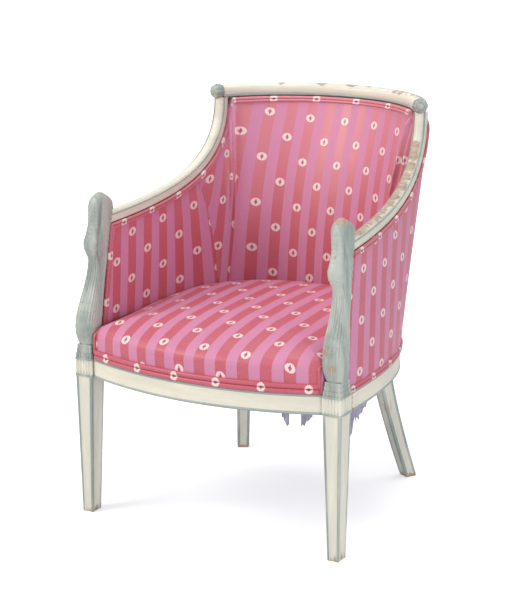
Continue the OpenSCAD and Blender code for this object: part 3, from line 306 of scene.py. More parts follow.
def striped_silk():
    """Silk lampas: satin stripes of red between ribbed mauve ones, with small white laurel wreaths
    brocaded on the red. Satin gives a broad soft gloss; the rib stays matt. Higher up the chair a painted highlight
    turns the red to salmon."""
    made, t = finish("striped_silk_lampas")
    cloth = add(t, "ShaderNodeUVMap", uv_map="cloth")
    flat = add(t, "ShaderNodeSeparateXYZ", cloth).node
    body = add(t, "ShaderNodeTexCoord", out=3)
    wander = add(t, MATH, add(t, MATH, add(t, NOISE, cloth, ("Scale", 16.0), ("Detail", 2.0)), 0.5, **LESS), 2 * MM,
                 **TIMES)
    across = add(t, MATH, add(t, MATH, flat.outputs[0], wander, **PLUS), STRIPE * MM, **OVER)
    phase = add(t, MATH, add(t, MATH, across, **PART), 0.5, **LESS)
    red = add(t, STEP, add(t, MATH, phase, **SIZE), 0.272, 0.238, **SOFT)
    # every other stripe has its wreaths half a drop lower
    odd = add(t, MATH, add(t, MATH, add(t, MATH, across, **WHOLE), 100.0, **PLUS), 2.0, operation="MODULO")
    fall = add(t, MATH, add(t, MATH, flat.outputs[1], DROP * MM, **OVER), add(t, MATH, odd, 0.5, **TIMES), **PLUS)
    down = add(t, MATH, add(t, MATH, fall, **PART), 0.5, **LESS)
    dx = add(t, MATH, phase, STRIPE * MM, **TIMES)
    dy = add(t, MATH, down, DROP * MM, **TIMES)
    away = add(t, "ShaderNodeVectorMath", add(t, "ShaderNodeCombineXYZ", dx, dy), operation="LENGTH", out=1)
    turn = add(t, MATH, dx, dy, operation="ARCTAN2")
    leaves = add(t, MATH, add(t, MATH, add(t, MATH, turn, 7.5, **TIMES), operation="SINE"), **SIZE)
    half = add(t, MATH, add(t, MATH, leaves, LEAF, **TIMES), LEAF * 1.25, **PLUS)
    edge = add(t, MATH, add(t, MATH, add(t, MATH, away, RING, **LESS), **SIZE), half, **LESS)
    ring = add(t, STEP, edge, 0.7 * MM, -0.5 * MM, **SOFT)
    bow = add(t, MATH, add(t, MATH, dx, **SIZE), add(t, MATH, add(t, MATH, dy, RING * 1.15, **PLUS), **SIZE), **PLUS)
    knot = add(t, STEP, bow, 3.6 * MM, 2.4 * MM, **SOFT)
    white = add(t, MATH, ring, knot, operation="MAXIMUM")
    stem = add(t, MATH, add(t, STEP, add(t, MATH, dx, **SIZE), 1.7 * MM, 0.9 * MM, **SOFT),
               add(t, STEP, away, 7.4 * MM, 6.4 * MM, **SOFT), **TIMES)
    white = add(t, MATH, white, add(t, MATH, stem, 0.8, **TIMES), use_clamp=True, **LESS)
    # threads catch a little more or less dye along the piece
    fade = add(t, NOISE, body, ("Scale", 6.0), ("Detail", 2.0))
    # painted highlight: above half a metre the red turns to salmon, standing in for the satin's reflection of the
    # light on the upper back and arms
    height = add(t, "ShaderNodeSeparateXYZ", body).node.outputs[2]
    painted_satin_highlight = add(t, STEP, height, 0.50, 0.86, 0.0, 0.85, **SOFT)
    red_and_painted_highlight = add(t, BLEND, painted_satin_highlight, (6, add(t, BLEND, fade, (6, "#B44A5A"), (7, "#C05866"), **TINT)),
                   (7, "#CC7B86"), **TINT)
    ground = add(t, BLEND, red, (6, add(t, BLEND, fade, (6, "#C2789B"), (7, "#CB84A4"), **TINT)),
                 (7, red_and_painted_highlight), **TINT)
    ground = add(t, BLEND, add(t, MATH, stem, 0.8, **TIMES), (6, ground), (7, "#7A3444"), **TINT)
    thread = add(t, NOISE, add(t, "ShaderNodeMapping", cloth, ("Scale", (1.0, 0.2, 1.0))), ("Scale", THREAD),
                 ("Detail", 2.0))
    lit = add(t, MATH, add(t, STEP, thread, 0.35, 0.75, **SOFT), 0.18, **TIMES)
    ground = add(t, BLEND, lit, (6, ground), (7, "#E8AABA"), **TINT)
    colour = add(t, BLEND, add(t, MATH, white, 0.84, **TIMES), (6, ground), (7, "#F1DEDB"), **TINT)
    dull = add(t, MATH, 0.60, add(t, MATH, red, 0.18, **TIMES), **LESS)
    # rib, threads and raised brocade, in millimetres of height
    rib = add(t, MATH, add(t, MATH, flat.outputs[1], 2 * pi / (1.6 * MM), **TIMES), operation="SINE")
    height = add(t, MATH, add(t, MATH, rib, add(t, MATH, 1.0, red, **LESS), **TIMES), 0.06, **TIMES)
    height = add(t, MATH, height, add(t, MATH, thread, 0.12, **TIMES), **PLUS)
    height = add(t, MATH, height, add(t, MATH, white, 0.35, **TIMES), **PLUS)
    bump = add(t, "ShaderNodeBump", 0.6, MM, ("Height", height))
    add(t, "ShaderNodeOutputMaterial", add(
        t, "ShaderNodeBsdfPrincipled", colour, ("Roughness", dull), ("Normal", bump), ("Sheen Weight", 0.3),
        ("Sheen Roughness", 0.4), ("Sheen Tint", "#F6C0CC")))
    return made


def old_paint(name, fresh, second, worn, wood, brush, wear):
    """Old oil paint over gesso on beech, brushed on by hand: two close tones that follow the brush, a darker grey in
    the hollows, and bare gesso and wood where hands and feet rub. A satin skin, dull where it is worn."""
    made, t = finish(name)
    body = add(t, "ShaderNodeTexCoord", out=3)
    along = add(t, "ShaderNodeMapping", body, ("Scale", brush))
    cloud = add(t, NOISE, along, ("Scale", 26.0), ("Detail", 4.0), ("Roughness", 0.6))
    streak = add(t, NOISE, along, ("Scale", 300.0), ("Detail", 5.0), ("Roughness", 0.62))
    fleck = add(t, NOISE, along, ("Scale", 150.0), ("Detail", 6.0), ("Roughness", 0.72), ("Distortion", 0.4))
    rubbed = add(t, "ShaderNodeAttribute", attribute_name="rubbed", out=2)
    hollow = add(t, "ShaderNodeAttribute", attribute_name="hollow", out=2)
    tone = add(t, BLEND, add(t, STEP, cloud, 0.38, 0.62, **SOFT), (6, fresh), (7, second), **TINT)
    dry = add(t, MATH, add(t, STEP, streak, 0.52, 0.74, **SOFT), 0.45, **TIMES)
    tone = add(t, BLEND, dry, (6, tone), (7, worn), **TINT)
    # a darker grey in the hollows, by how far each corner lies sunk, and along some brush streaks
    darker_in_hollows = add(t, STEP, add(t, MATH, hollow, add(t, MATH, streak, 0.5, **TIMES), **PLUS), 0.40, 0.9, 0.0, 0.8, **SOFT)
    tone = add(t, BLEND, darker_in_hollows, (6, tone), (7, "#6A706A"), **TINT)
    # bare where the rub and the flecks meet; with no rub, only the strongest flecks chip
    chip = add(t, MATH, add(t, MATH, rubbed, 0.6, **TIMES), add(t, MATH, fleck, 0.7, **TIMES), **PLUS)
    bare = add(t, STEP, chip, 0.66 - 0.14 * wear, 0.76 - 0.14 * wear, 0.0, 0.9, **SOFT)
    timber = add(t, BLEND, add(t, STEP, streak, 0.4, 0.6, **SOFT), (6, wood), (7, "#B9A08C"), **TINT)
    tone = add(t, BLEND, bare, (6, tone), (7, timber), **TINT)
    dull = add(t, MATH, add(t, MATH, bare, 0.2, **TIMES), 0.42, **PLUS)
    # brush marks and chips, in millimetres of height
    height = add(t, MATH, add(t, MATH, streak, 0.3, **TIMES), add(t, MATH, bare, 0.25, **TIMES), **LESS)
    bump = add(t, "ShaderNodeBump", 0.6, MM, ("Height", height))
    add(t, "ShaderNodeOutputMaterial", add(t, "ShaderNodeBsdfPrincipled", tone, ("Roughness", dull), ("IOR", 1.52),
                                           ("Normal", bump)))
    return made


def plain_stuff(name, first, second, cloud_mm, roughness, weave_mm=0.0, metallic=0.0):
    """A simple finish of two close tones, with a crossed weave where the real one is cloth."""
    made, t = finish(name)
    body = add(t, "ShaderNodeTexCoord", out=3)
    cloud = add(t, NOISE, body, ("Scale", 1 / (cloud_mm * MM)), ("Detail", 4.0), ("Roughness", 0.6))
    tone = add(t, BLEND, add(t, STEP, cloud, 0.36, 0.64, **SOFT), (6, first), (7, second), **TINT)
    height = add(t, MATH, cloud, 0.4, **TIMES)
    if weave_mm:
        parts = add(t, "ShaderNodeSeparateXYZ", body).node
        waves = [add(t, MATH, add(t, MATH, parts.outputs[k], 2 * pi / (weave_mm * MM), **TIMES), operation="SINE")
                 for k in range(3)]
        weave = add(t, MATH, add(t, MATH, waves[0], waves[2], **PLUS), add(t, MATH, waves[1], 1.5, **PLUS), **TIMES)
        height = add(t, MATH, height, add(t, MATH, weave, 0.12, **TIMES), **PLUS)
        # painted highlight: the raised threads of the weave are lightened towards white
        tone = add(t, BLEND, add(t, STEP, weave, -0.5, 1.5, 0.0, 0.2, **SOFT), (6, tone), (7, "#FFFFFF"), **TINT)
    bump = add(t, "ShaderNodeBump", 0.4, MM, ("Height", height))
    add(t, "ShaderNodeOutputMaterial", add(t, "ShaderNodeBsdfPrincipled", tone, ("Roughness", roughness),
                                           ("Metallic", metallic), ("Normal", bump)))
    return made


SILK = striped_silk()
# Brush marks run with the wood, upright on legs and swans and level on rails. Cream paint is warm, soft and
# chalky, and grey green is a cool glaze dragged thinly over it, so that pale streaks show through
UPRIGHT, LEVEL = (1.0, 1.0, 0.11), (0.14, 0.14, 1.0)
CREAM = old_paint("aged_cream_oil_paint", "#DFDBCC", "#D2CFC1", "#C2BDAC", "#9A7F6E", UPRIGHT, 0.2)
CREAM_LEVEL = old_paint("aged_cream_oil_paint_on_rails", "#E1DCCB", "#D6D1C0", "#C6C0AF", "#96806F", LEVEL, 0.3)
GREY_GREEN = old_paint("grey_green_oil_paint", "#B3B8AF", "#8B958F", "#D2D2C6", "#9C8470", UPRIGHT, 0.35)
GREY_GREEN_LEVEL = old_paint("grey_green_oil_paint_on_rails", "#9FA9A3", "#909A96", "#C9CCC2", "#9A8470", LEVEL, 0.4)
# Planed beech without polish: pinkish tan and dull, with soft clouds of grain
BEECH = plain_stuff("raw_beech", "#B98F68", "#A67D58", 12, 0.6)
# Drawn steel, zinc plated: a grey and blurred shine
STEEL = plain_stuff("zinc_plated_steel", "#8F9092", "#7C7D80", 6, 0.38, metallic=1.0)
# Jute and linen, woven coarse: brown, with no shine, and its threads show
LINEN = plain_stuff("jute_and_linen", "#B49B72", "#A48A62", 20, 0.85, 1.6)
# Thin cotton, dyed lilac grey and faded: flat and dusty, with a close weave
LILAC = plain_stuff("lilac_grey_cotton", "#A29CB0", "#8F899E", 25, 0.9, 1.0)

# Making and keeping pieces


def skin(columns, rows, place, cloth=None, tube=False, ends=False, zone=None, relief=None):
    """A grid whose corners are set by place(u, v), both from 0 to 1. cloth(point, u, v) gives the place on the
    uncut cloth in millimetres, zone(u, v) the finish's number and relief(u, v) a carved height. A tube is
    joined where u comes round, and ends fills its two ends."""
    bm = bmesh.new()
    bmesh.ops.create_grid(bm, x_segments=columns, y_segments=rows, size=0.5)
    laid, heights = bm.loops.layers.uv.new("cloth"), bm.verts.layers.float.new("height")
    at = {v: (round((v.co.x + 0.5) * columns) / columns, round((v.co.y + 0.5) * rows) / rows) for v in bm.verts}
    for v, (across, along) in at.items():
        v.co = place(across, along)
    cut = {v: Vector(cloth(v.co, *spot)) * MM for v, spot in at.items()} if cloth else {}
    for face in bm.faces:
        if cloth:
            for loop in face.loops:
                loop[laid].uv = cut[loop.vert]
        if zone:
            face.material_index = zone(sum(at[v][0] for v in face.verts) / 4, sum(at[v][1] for v in face.verts) / 4)
    if relief:
        for v, spot in at.items():
            v[heights] = relief(*spot)
    if tube:
        bmesh.ops.remove_doubles(bm, verts=bm.verts, dist=0.002)
    if ends:
        bmesh.ops.holes_fill(bm, edges=[e for e in bm.edges if e.is_boundary], sides=0)
    bmesh.ops.recalc_face_normals(bm, faces=bm.faces)
    if relief:
        bm.normal_update()
        moved = {v: v.co + v.normal * v[heights] for v in bm.verts}
        for v, spot in moved.items():
            v.co = spot
    return bm


def sweep(sections, beads=(), bands=()):
    """A closed outline carried through its sections. The second finish goes on the sides of the outline that
    beads numbers and the steps along it that bands numbers."""
    n, m = len(sections[0]), len(sections) - 1
    return skin(n, m, lambda u, v: sections[round(v * m)][round(u * n) % n], None, True, True,
                lambda u, v: int(int(u * n) in beads or int(v * m) in bands))


def together(bm, *others):
    for other in others:
        held = bpy.data.meshes.new("held")
        other.to_mesh(held)
        other.free()
        bm.from_mesh(held)
        bpy.data.meshes.remove(held)
    return bm


def age(bm, proud=1.6, sunk=2.2, spots=()):
    """Notes how far each corner stands proud or lies sunk, which the paint reads as wear and as a darker grey in the
    hollows. Each spot (middle, reach, strength) is a place worn by hands or feet."""
    rubbed, hollow = bm.verts.layers.float.new("rubbed"), bm.verts.layers.float.new("hollow")
    bm.normal_update()
    for v in bm.verts:
        near = [e.other_vert(v).co for e in v.link_edges]
        reach = sum((n - v.co).length for n in near) / len(near)
        bend = (v.co - sum(near, Vector()) / len(near)).dot(v.normal) / max(reach, 1e-6)
        worn = max([0] + [power * exp(-((v.co - Vector(middle)).length / size) ** 2) for middle, size, power in spots])
        v[rubbed] = clamp(bend * proud + worn)
        v[hollow] = clamp(-bend * sunk)
    return bm


def placed(name, data):
    made = bpy.data.objects.new(name, data)
    bpy.context.scene.collection.objects.link(made)
    return made


def piece(name, bm, finishes, slot, stands_for=(), sharp=40, thick=0.0):
    """Brings a finished mesh from the plan into the frame and hangs it on the chair."""
    bmesh.ops.translate(bm, verts=bm.verts, vec=(0, -MID_Y, 0))
    bmesh.ops.scale(bm, verts=bm.verts, vec=(MM, MM, MM))
    mesh = bpy.data.meshes.new(name)
    bm.to_mesh(mesh)
    bm.free()
    made = placed(name, mesh)
    for used in finishes:
        mesh.materials.append(used)
    mesh.polygons.foreach_set("use_smooth", [True] * len(mesh.polygons))
    if sharp:
        mesh.set_sharp_from_angle(angle=radians(sharp))
    if thick:
        wall = made.modifiers.new("wall", "SOLIDIFY")
        wall.thickness, wall.offset = thick * MM, 0
    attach(made, "root")
    if stands_for:
        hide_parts(*stands_for)
    return made


def both(name, make, finishes, slot, sharp=40):
    """The same piece for the sitter's left and, mirrored, for the right. make(side) draws both as the left one,
    each with its own wear."""
    for side in ("left", "right"):
        bm = make(side)
        if side == "right":
            bmesh.ops.scale(bm, verts=bm.verts, vec=(-1, 1, 1))
            bmesh.ops.recalc_face_normals(bm, faces=bm.faces)
        piece(f"shown_{name}_{side}", bm, finishes, slot, [f"{name}_{side}"], sharp)


# Camera: the photograph's own
lens = bpy.data.cameras.new("camera")
lens.lens, lens.sensor_width, lens.sensor_fit = 106.13, 36, "AUTO"
camera = placed("camera", lens)
camera.location = (1.83514, -3.43644, 1.43389)
camera.rotation_euler = (radians(90 - 14.317), 0, radians(28.693))
bpy.context.scene.camera = camera

# Front legs: a square tapered stick with beaded corners and sunk panels, and its fluted block and collar
LEG_BEAD, LEG_SINK = 6, 1.3
# Every outline's sides are numbered from its first corner. Those that are beads take the grey green
LEG_BEADS = {k for k in range(48) if 3 <= k % 12 <= 8}
FLUTES, FLUTE_HALF_W, FLUTE_STEPS = 5, 2.3, 36
# The block and collar on the leg: height, how far it is drawn in, and the depth of its flutes
BLOCK_ROWS = [(315, 0.6, 0), (315.8, 0, 0), (319.6, 0, 0), (320.3, 0.5, 0), (320.6, 0.5, 1.5), (336, 0.5, 1.5),
              (351.4, 0.5, 1.5), (351.7, 0.5, 0), (352.4, 0, 0), (356.2, 0, 0), (357, 0.8, 0), (357.3, 1.3, 1.5),
              (362, 1.3, 1.5), (366.4, 1.3, 1.5), (367, 2.0, 1.5), (367.4, 2.7, 1.5), (376, 2.7, 1.5),
              (376.6, 3.4, 1.5), (377, 4, 1.5), (381.5, 4, 1.5), (385.2, 4, 1.5), (386, 4.6, 1.2)]
BLOCK_BANDS = {1, 2, 3, *range(8, 21)}


def stick_outline(w, d, bead):
    """A quarter with its sunk panels and its bead on the corner, turned round to four."""
    a, b, e, sink = w / 2, d / 2, bead, LEG_SINK
    quarter = [(a - sink, 0), (a - sink, (b - e - 2) / 2), (a - sink, b - e - 2), (a - sink * 0.3, b - e - 0.9),
               (a, b - e + 0.4), (a, b - e / 2), (a - 0.12 * e, b - 0.12 * e), (a - e / 2, b), (a - e + 0.4, b),
               (a - e - 0.9, b - sink * 0.3), (a - e - 2, b - sink), ((a - e - 2) / 2, b - sink), (0, b - sink)]
    back = quarter[::-1]
    return (quarter[:-1] + [(-x, y) for x, y in back][:-1] + [(-x, -y) for x, y in quarter][:-1]
            + [(x, -y) for x, y in back][:-1])


def fluted_outline(w, d, depth):
    """A square with flutes on every face; depth 0 leaves it plain."""
    out = []
    for turn in range(4):
        a, b = (w / 2, d / 2) if turn % 2 == 0 else (d / 2, w / 2)
        for i in range(FLUTE_STEPS):
            y = b * (2 * i / FLUTE_STEPS - 1)
            nearest = min(abs(y - b * (2 * k / (FLUTES + 1) - 1)) for k in range(1, FLUTES + 1))
            x = a - depth * sqrt(max(0, 1 - (nearest / FLUTE_HALF_W) ** 2)) - (0.5 if i == 0 else 0)
            y += 0.5 if i == 0 else 0
            c, s = ((1, 0), (0, 1), (-1, 0), (0, -1))[turn]
            out.append((c * x - s * y, s * x + c * y))
    return out


def ring(outline, x, y, z, turn=0.0):
    c, s = cos(radians(turn)), sin(radians(turn))
    return [Vector((x + p * c + q * s, y - p * s + q * c, z)) for p, q in outline]


def front_leg(side):
    stick = []
    for z, tight in [(0, 0.93)] + [(mix(2, RAIL_Z, i / 26), 1) for i in range(27)]:
        t = z / RAIL_Z
        w, d = mix(FOOT_W, LEG_W, t) * tight, mix(FOOT_D, LEG_D, t) * tight
        stick.append(ring(stick_outline(w, d, LEG_BEAD * w / LEG_W), LEG_X + LEG_SPLAY * (1 - t), 0, z))
    block = [ring(fluted_outline(BLOCK_W - 2 * draw, BLOCK_D - 2 * draw, depth), LEG_X, 0, z)
             for z, draw, depth in BLOCK_ROWS]
    foot_x = LEG_X + LEG_SPLAY
    spots = [((foot_x, 0, 0), 26, 0.8), ((foot_x - 14, -17, 30), 22, 0.5), ((LEG_X, -26, 368), 16, 0.45),
             ((LEG_X - 10, -24, 230), 20, 0.3)]
    return age(together(sweep(stick, LEG_BEADS), sweep(block, bands=BLOCK_BANDS)), 0.45, 0.8, spots)


both("front_leg", front_leg, [CREAM, GREY_GREEN], "painted_cream_wood")

# Rear legs: a sabre leg, swept back, that runs on as a stile inside the back


def rear_out(turn):
    return Vector((sin(radians(turn)), cos(radians(turn))))


def plan_frame(turn, step=0.02):
    """A point on the outer faces of the rails and the way out from it."""
    p = plan_point(PLAN_HALF_W, PLAN_DEPTH, PLAN_POWER, turn)
    low = plan_point(PLAN_HALF_W, PLAN_DEPTH, PLAN_POWER, max(0.001, turn - step))
    way = plan_point(PLAN_HALF_W, PLAN_DEPTH, PLAN_POWER, min(89.999, turn + step)) - low
    return p, Vector((way.y, -way.x)).normalized()


REAR_TURNED = plan_turn(PLAN_DEPTH, PLAN_POWER, plan_x(PLAN_DEPTH, PLAN_HALF_W, PLAN_POWER, REAR_JOINT_X))
REAR_AT = plan_point(PLAN_HALF_W, PLAN_DEPTH, PLAN_POWER, REAR_TURNED) - REAR_INSET * rear_out(REAR_TURN)


def rear_leg(side):
    sabre = []
    out = rear_out(REAR_TURN)
    for i in range(33):
        t = i / 32
        c = REAR_AT + out * SABRE_SWEEP * (1 - t) ** SABRE_POWER
        w = mix(REAR_FOOT, REAR_W, t) * (0.94 if i == 0 else 1)
        sabre.append(ring(stick_outline(w, w, LEG_BEAD), c.x, c.y, RAIL_Z * t, REAR_TURN))
    tenon, top = REAR_AT - 8 * out, crest_at(STILE_TURN, CREST_R + 1, CREST_Z).xy
    bend = REAR_AT.lerp(top, 10 / (CREST_Z - LIP_TOP)) + 4 * out
    stile = [ring([(STILE_HALF_W, -d), (STILE_HALF_W, d), (-STILE_HALF_W, d), (-STILE_HALF_W, -d)], c.x, c.y, z, turn)
             for z, c, d, turn in ((RAIL_Z, tenon, 5, REAR_TURN), (LIP_TOP, tenon, 5, REAR_TURN),
                                   (LIP_TOP + 10, bend, 9, REAR_TURN), (CREST_Z, top, 6, STILE_TURN))]
    foot = REAR_AT + out * SABRE_SWEEP
    spots = [((foot.x, foot.y, 0), 24, 0.8),
             ((REAR_AT.x + 20, REAR_AT.y + 10, 180), 34, 0.55 if side == "left" else 0.2),
             ((REAR_AT.x + 8, REAR_AT.y - 14, 250), 26, 0.45)]
    return age(together(sweep(sabre, LEG_BEADS), sweep(stile)), 0.8, 2.0, spots)


both("rear_leg", rear_leg, [CREAM, GREY_GREEN], "painted_cream_wood")

# Seat rails: a flat show face between two beads, and the tacking lip that the covers hide
RAIL_PROFILE = [(-RAIL_T, 315), (-13, 315), (-1, 315), (0.6, 315.3), (1.3, 316.2), (1.5, 317.5), (1.3, 318.8),
                (0.7, 319.7), (0.1, 320.3), (0, 322), (0, 329), (0, 336), (0, 343), (0, 350), (0.1, 351.7),
                (0.7, 352.3), (1.3, 353.2), (1.5, 354.5), (1.3, 355.8), (0.6, 356.7), (-1, 357), (-RAIL_REBATE, 357),
                (-RAIL_REBATE, 379), (-RAIL_T, 379), (-RAIL_T, 347)]
RAIL_BEADS = {*range(2, 8), *range(14, 20)}


def front_rail():
    end, rows = degrees(asin(BLOCK_IN_X / BOW_R)), []
    for i in range(73):
        q = radians(mix(-end, end, i / 72))
        rows.append([Vector(((BOW_R + out) * sin(q), BOW_Y - (BOW_R + out) * cos(q), z)) for out, z in RAIL_PROFILE])
    return age(sweep(rows, RAIL_BEADS), spots=[((-90, -72, 330), 30, 0.35), ((150, -60, 345), 30, 0.3)])


def curved_rail(turns):
    rows = []
    for turn in turns:
        p, way = plan_frame(abs(turn))
        sign = -1 if turn < 0 else 1
        rows.append([Vector((sign * (p.x + way.x * out), p.y + way.y * out, z)) for out, z in RAIL_PROFILE])
    return age(sweep(rows, RAIL_BEADS))


SIDE_FROM = plan_turn(PLAN_DEPTH, PLAN_POWER, BLOCK_D / 2)
RAIL_PAINT = [CREAM_LEVEL, GREY_GREEN_LEVEL]
piece("shown_front_seat_rail", front_rail(), RAIL_PAINT, "painted_cream_wood", ["front_seat_rail"])
both("side_seat_rail", lambda side: curved_rail([mix(SIDE_FROM, REAR_TURNED, i / 48) for i in range(49)]),
     RAIL_PAINT, "painted_cream_wood")
half_back = [mix(REAR_TURNED, 90, i / 24) for i in range(25)]
piece("shown_back_seat_rail", curved_rail(half_back + [-turn for turn in half_back[-2::-1]]), RAIL_PAINT,
      "painted_cream_wood", ["back_seat_rail"])

# Carved swans: body, S of the neck, and the head that hangs from the bend at the top


# Across a swan, from its breast, 0, to its back, 1: the middles and half widths of the neck and of the post
# behind the groove. Down it, in millimetres: the rows of feathers, of quills on the wing and of rings on the neck
NECK_MID, POST_MID, POST_HALF = 0.17, 0.66, 0.34
FEATHERS_ROUND, FEATHER_ROW, QUILL_ROW, NECK_ROW = 11, 19, 14, 9


def swan_across(u):
    return (1 - cos(2 * pi * u)) / 2


def swan_point(u, v):
    """u runs round the swan from its breast, v up it."""
    row, c = through(SWAN_ROWS, v), swan_across(u)
    square = 1 - 0.72 * smooth((v - 0.94) / 0.06)
    plain = (1 - abs(2 * c - 1) ** (2 + 2.6 * square)) ** 0.5 * mix(row[2], row[3], smooth(c)) * (
        1.03 + 0.09 * square * smooth((v - 0.3) / 0.3))
    neck = 1.12 * row[2] * sqrt(max(0, 1 - ((c - NECK_MID) / NECK_MID) ** 2))
    post = 1.12 * row[3] * sqrt(max(0, 1 - abs((c - POST_MID) / POST_HALF) ** 4))
    half = SWAN_W * mix(plain, max(neck, post, 0.09 if 0.04 < c < 0.96 else 0), smooth(row[4] / 0.15))
    z = SWAN_Z + SWAN_H * v
    flare = 7 * smooth((v - 0.30) / 0.45) * smooth((1.0 - v) / 0.08) * smooth((c - 0.5) / 0.5)
    return Vector((swan_mid_x(z) + (half if u < 0.5 else -half), SWAN_D * mix(row[0], row[1], c) + flare, z))


def swan_carving(u, v):
    """Feathers on the body, long plumes up the neck, an eye and the line of the bill on each side."""
    c, height, around = swan_across(u), v * SWAN_H, FEATHERS_ROUND * abs(2 * u - 1)
    row = height / FEATHER_ROW
    lie = (around + 0.5 * (int(row) % 2)) % 1 - 0.5
    body = 0.75 * (1 - row % 1) * (1 - 4 * lie * lie) * smooth((0.34 - v) / 0.05) * smooth((v - 0.04) / 0.03)
    plume = 0.8 * sin(2 * pi * around + 9 * v) * smooth((v - 0.10) / 0.12) * smooth((0.56 - v) / 0.04)
    on_wing = smooth((c - 0.55) / 0.08) * smooth((v - 0.56) / 0.04) * smooth((0.93 - v) / 0.05)
    wing = 0.55 * sin(2 * pi * (height / QUILL_ROW + 5 * c)) * on_wing
    on_neck = smooth((0.32 - c) / 0.08) * smooth((v - 0.70) / 0.03) * smooth((0.94 - v) / 0.04)
    neck = 0.25 * sin(2 * pi * height / NECK_ROW) * on_neck
    eye = -1.6 * exp(-((v - 0.665) / 0.008) ** 2 - ((c - 0.2) / 0.06) ** 2)
    brow = 0.9 * exp(-((v - 0.683) / 0.008) ** 2 - ((c - 0.2) / 0.10) ** 2)
    bill = -0.9 * exp(-((v - 0.628 + 0.1 * c) / 0.005) ** 2) * smooth((0.4 - c) / 0.1)
    foot = 0.8 * exp(-((v - 0.012) / 0.010) ** 2)
    return body + plume + wing + neck + eye + brow + bill + foot


def swan(side):
    bm = skin(140, 230, swan_point, tube=True, ends=True, relief=swan_carving)
    if side == "right":
        spots = [((290, 40, 705), 22, 0.5), ((302, -30, 420), 14, 0.4), ((300, -10, 610), 14, 0.35)]
    else:
        spots = [((290, 30, 712), 24, 0.75), ((290, -28, 452), 11, 0.9), ((303, -31, 418), 12, 0.9),
                 ((292, 0, 640), 16, 0.5)]
    return age(bm, 1.0, 3.0, spots)


both("swan_support", swan, [GREY_GREEN], "painted_grey_green_wood", sharp=60)

# Arm rails: a rounded cream band between two grey-green beads
ARM_HALF = [(0, 1), (0.16, 0.985), (0.31, 0.94), (0.45, 0.86), (0.57, 0.75), (0.67, 0.63), (0.74, 0.50), (0.775, 0.42),
            (0.81, 0.45), (0.87, 0.52), (0.93, 0.50), (0.98, 0.41), (1, 0.28), (1, 0.05), (1, -0.25), (1, -0.55),
            (1, -0.82), (0.95, -0.95), (0.84, -1), (0.4, -1)]
ARM_WHOLE = ARM_HALF + [(0, -1)] + [(-x, y) for x, y in ARM_HALF[:0:-1]]
ARM_BEADS = {*range(7, 12), *range(28, 33)}


def arm_rail(side):
    rows = []
    for i in range(111):
        t = i / 110
        rows.append([arm_point(t) + arm_side(t) * (x * ARM_W / 2) + arm_up(t) * (y * ARM_H / 2) for x, y in ARM_WHOLE])
    spots = [((290, 70, 668), 20, 0.5)]
    if side == "left":
        # hands have worn this one along its whole top
        spots = [(arm_point(i / 40) + arm_up(i / 40) * 13, 17, 0.80 - 0.09 * (i % 3)) for i in range(34)]
    return age(sweep(rows, ARM_BEADS), 1.3, 1.8, spots)


both("arm_rail", arm_rail, RAIL_PAINT, "painted_cream_wood")

# Crest rail: a rolled top with a bead on its outer edge and a thin one low on the inside
CREST_PROFILE = [(-0.8, -1), (0, -1), (0.9, -1), (1, -0.93), (1, -0.6), (1, -0.2), (1, 0.15), (0.99, 0.38),
                 (0.94, 0.46), (0.95, 0.53), (1, 0.62), (1, 0.72), (0.96, 0.82), (0.87, 0.91), (0.74, 0.95),
                 (0.64, 0.93), (0.58, 0.86), (0.52, 0.88), (0.40, 0.94), (0.2, 0.99), (0, 1), (-0.18, 0.98),
                 (-0.34, 0.93), (-0.50, 0.85), (-0.65, 0.74), (-0.78, 0.61), (-0.88, 0.45), (-0.95, 0.28),
                 (-0.99, 0.1), (-1, -0.08), (-0.98, -0.28), (-0.94, -0.44), (-0.88, -0.54), (-0.93, -0.58),
                 (-0.99, -0.66), (-1, -0.78), (-0.97, -0.90)]
CREST_BEADS = {*range(8, 19), *range(32, 37)}
CREST_WORN = (-31, -12, 3, 14, 20, 26, 31, 36, 41, 47, 53)     # turns from the middle of the back


def crest_rail():
    rows = []
    for i in range(121):
        turn = mix(-CREST_END, CREST_END, i / 120)
        rows.append([crest_at(turn, CREST_R + x * CREST_T / 2, CREST_Z + CREST_H / 2 * (1 + y))
                     for x, y in CREST_PROFILE])
    spots = [(crest_at(turn, CREST_R, CREST_Z + CREST_H + 2), 20, 0.72 - 0.08 * (turn % 3)) for turn in CREST_WORN]
    return age(sweep(rows, CREST_BEADS), 1.3, 1.8, spots)


piece("shown_crest_rail", crest_rail(), RAIL_PAINT, "painted_cream_wood", ["crest_rail"])


# The knob's turned neck: how far along and its radius
KNOB_NECK = [(0, 12.4), (1.2, 13.0), (2.4, 12.4), (3.2, 11.6), (4.2, 12.6), (5.6, 12.6), (7, 11.8), (12, 11.5)]


def crest_knob(side):
    """A carved rosette: a button within eight petals, on a turned neck that meets the crest rail."""
    q = radians(CREST_END)
    along, out = Vector((cos(q), -sin(q), 0)), Vector((sin(q), cos(q), 0))

    def place(u, v):
        turn, reach = 2 * pi * u, v * pi
        petal = abs(cos(4 * turn)) ** 0.6
        r = KNOB_R * (1 - 0.10 * (1 - petal) * sin(reach) * smooth((reach - 0.5) / 0.3) * smooth((2.3 - reach) / 0.3))
        r *= 1 - 0.09 * exp(-((reach - 0.52) / 0.07) ** 2) - 0.05 * exp(-((reach - 1.25) / 0.06) ** 2)
        return KNOB_AT + along * r * cos(reach) + (out * cos(turn) + UP * sin(turn)) * r * sin(reach)

    start = crest_at(CREST_END, CREST_R, CREST_Z + CREST_H / 2)
    neck = [circle(start + along * reach, out, r, 40) for reach, r in KNOB_NECK]
    return age(together(skin(64, 40, place, tube=True), sweep(neck)), 1.5, 2.0,
               [(KNOB_AT + Vector((0, -17, 0)), 9, 0.4)])


both("crest_knob", crest_knob, [GREY_GREEN], "painted_grey_green_wood", sharp=60)

# Welts: doubled cords in silk cut along a red stripe, so that wreaths sit on them


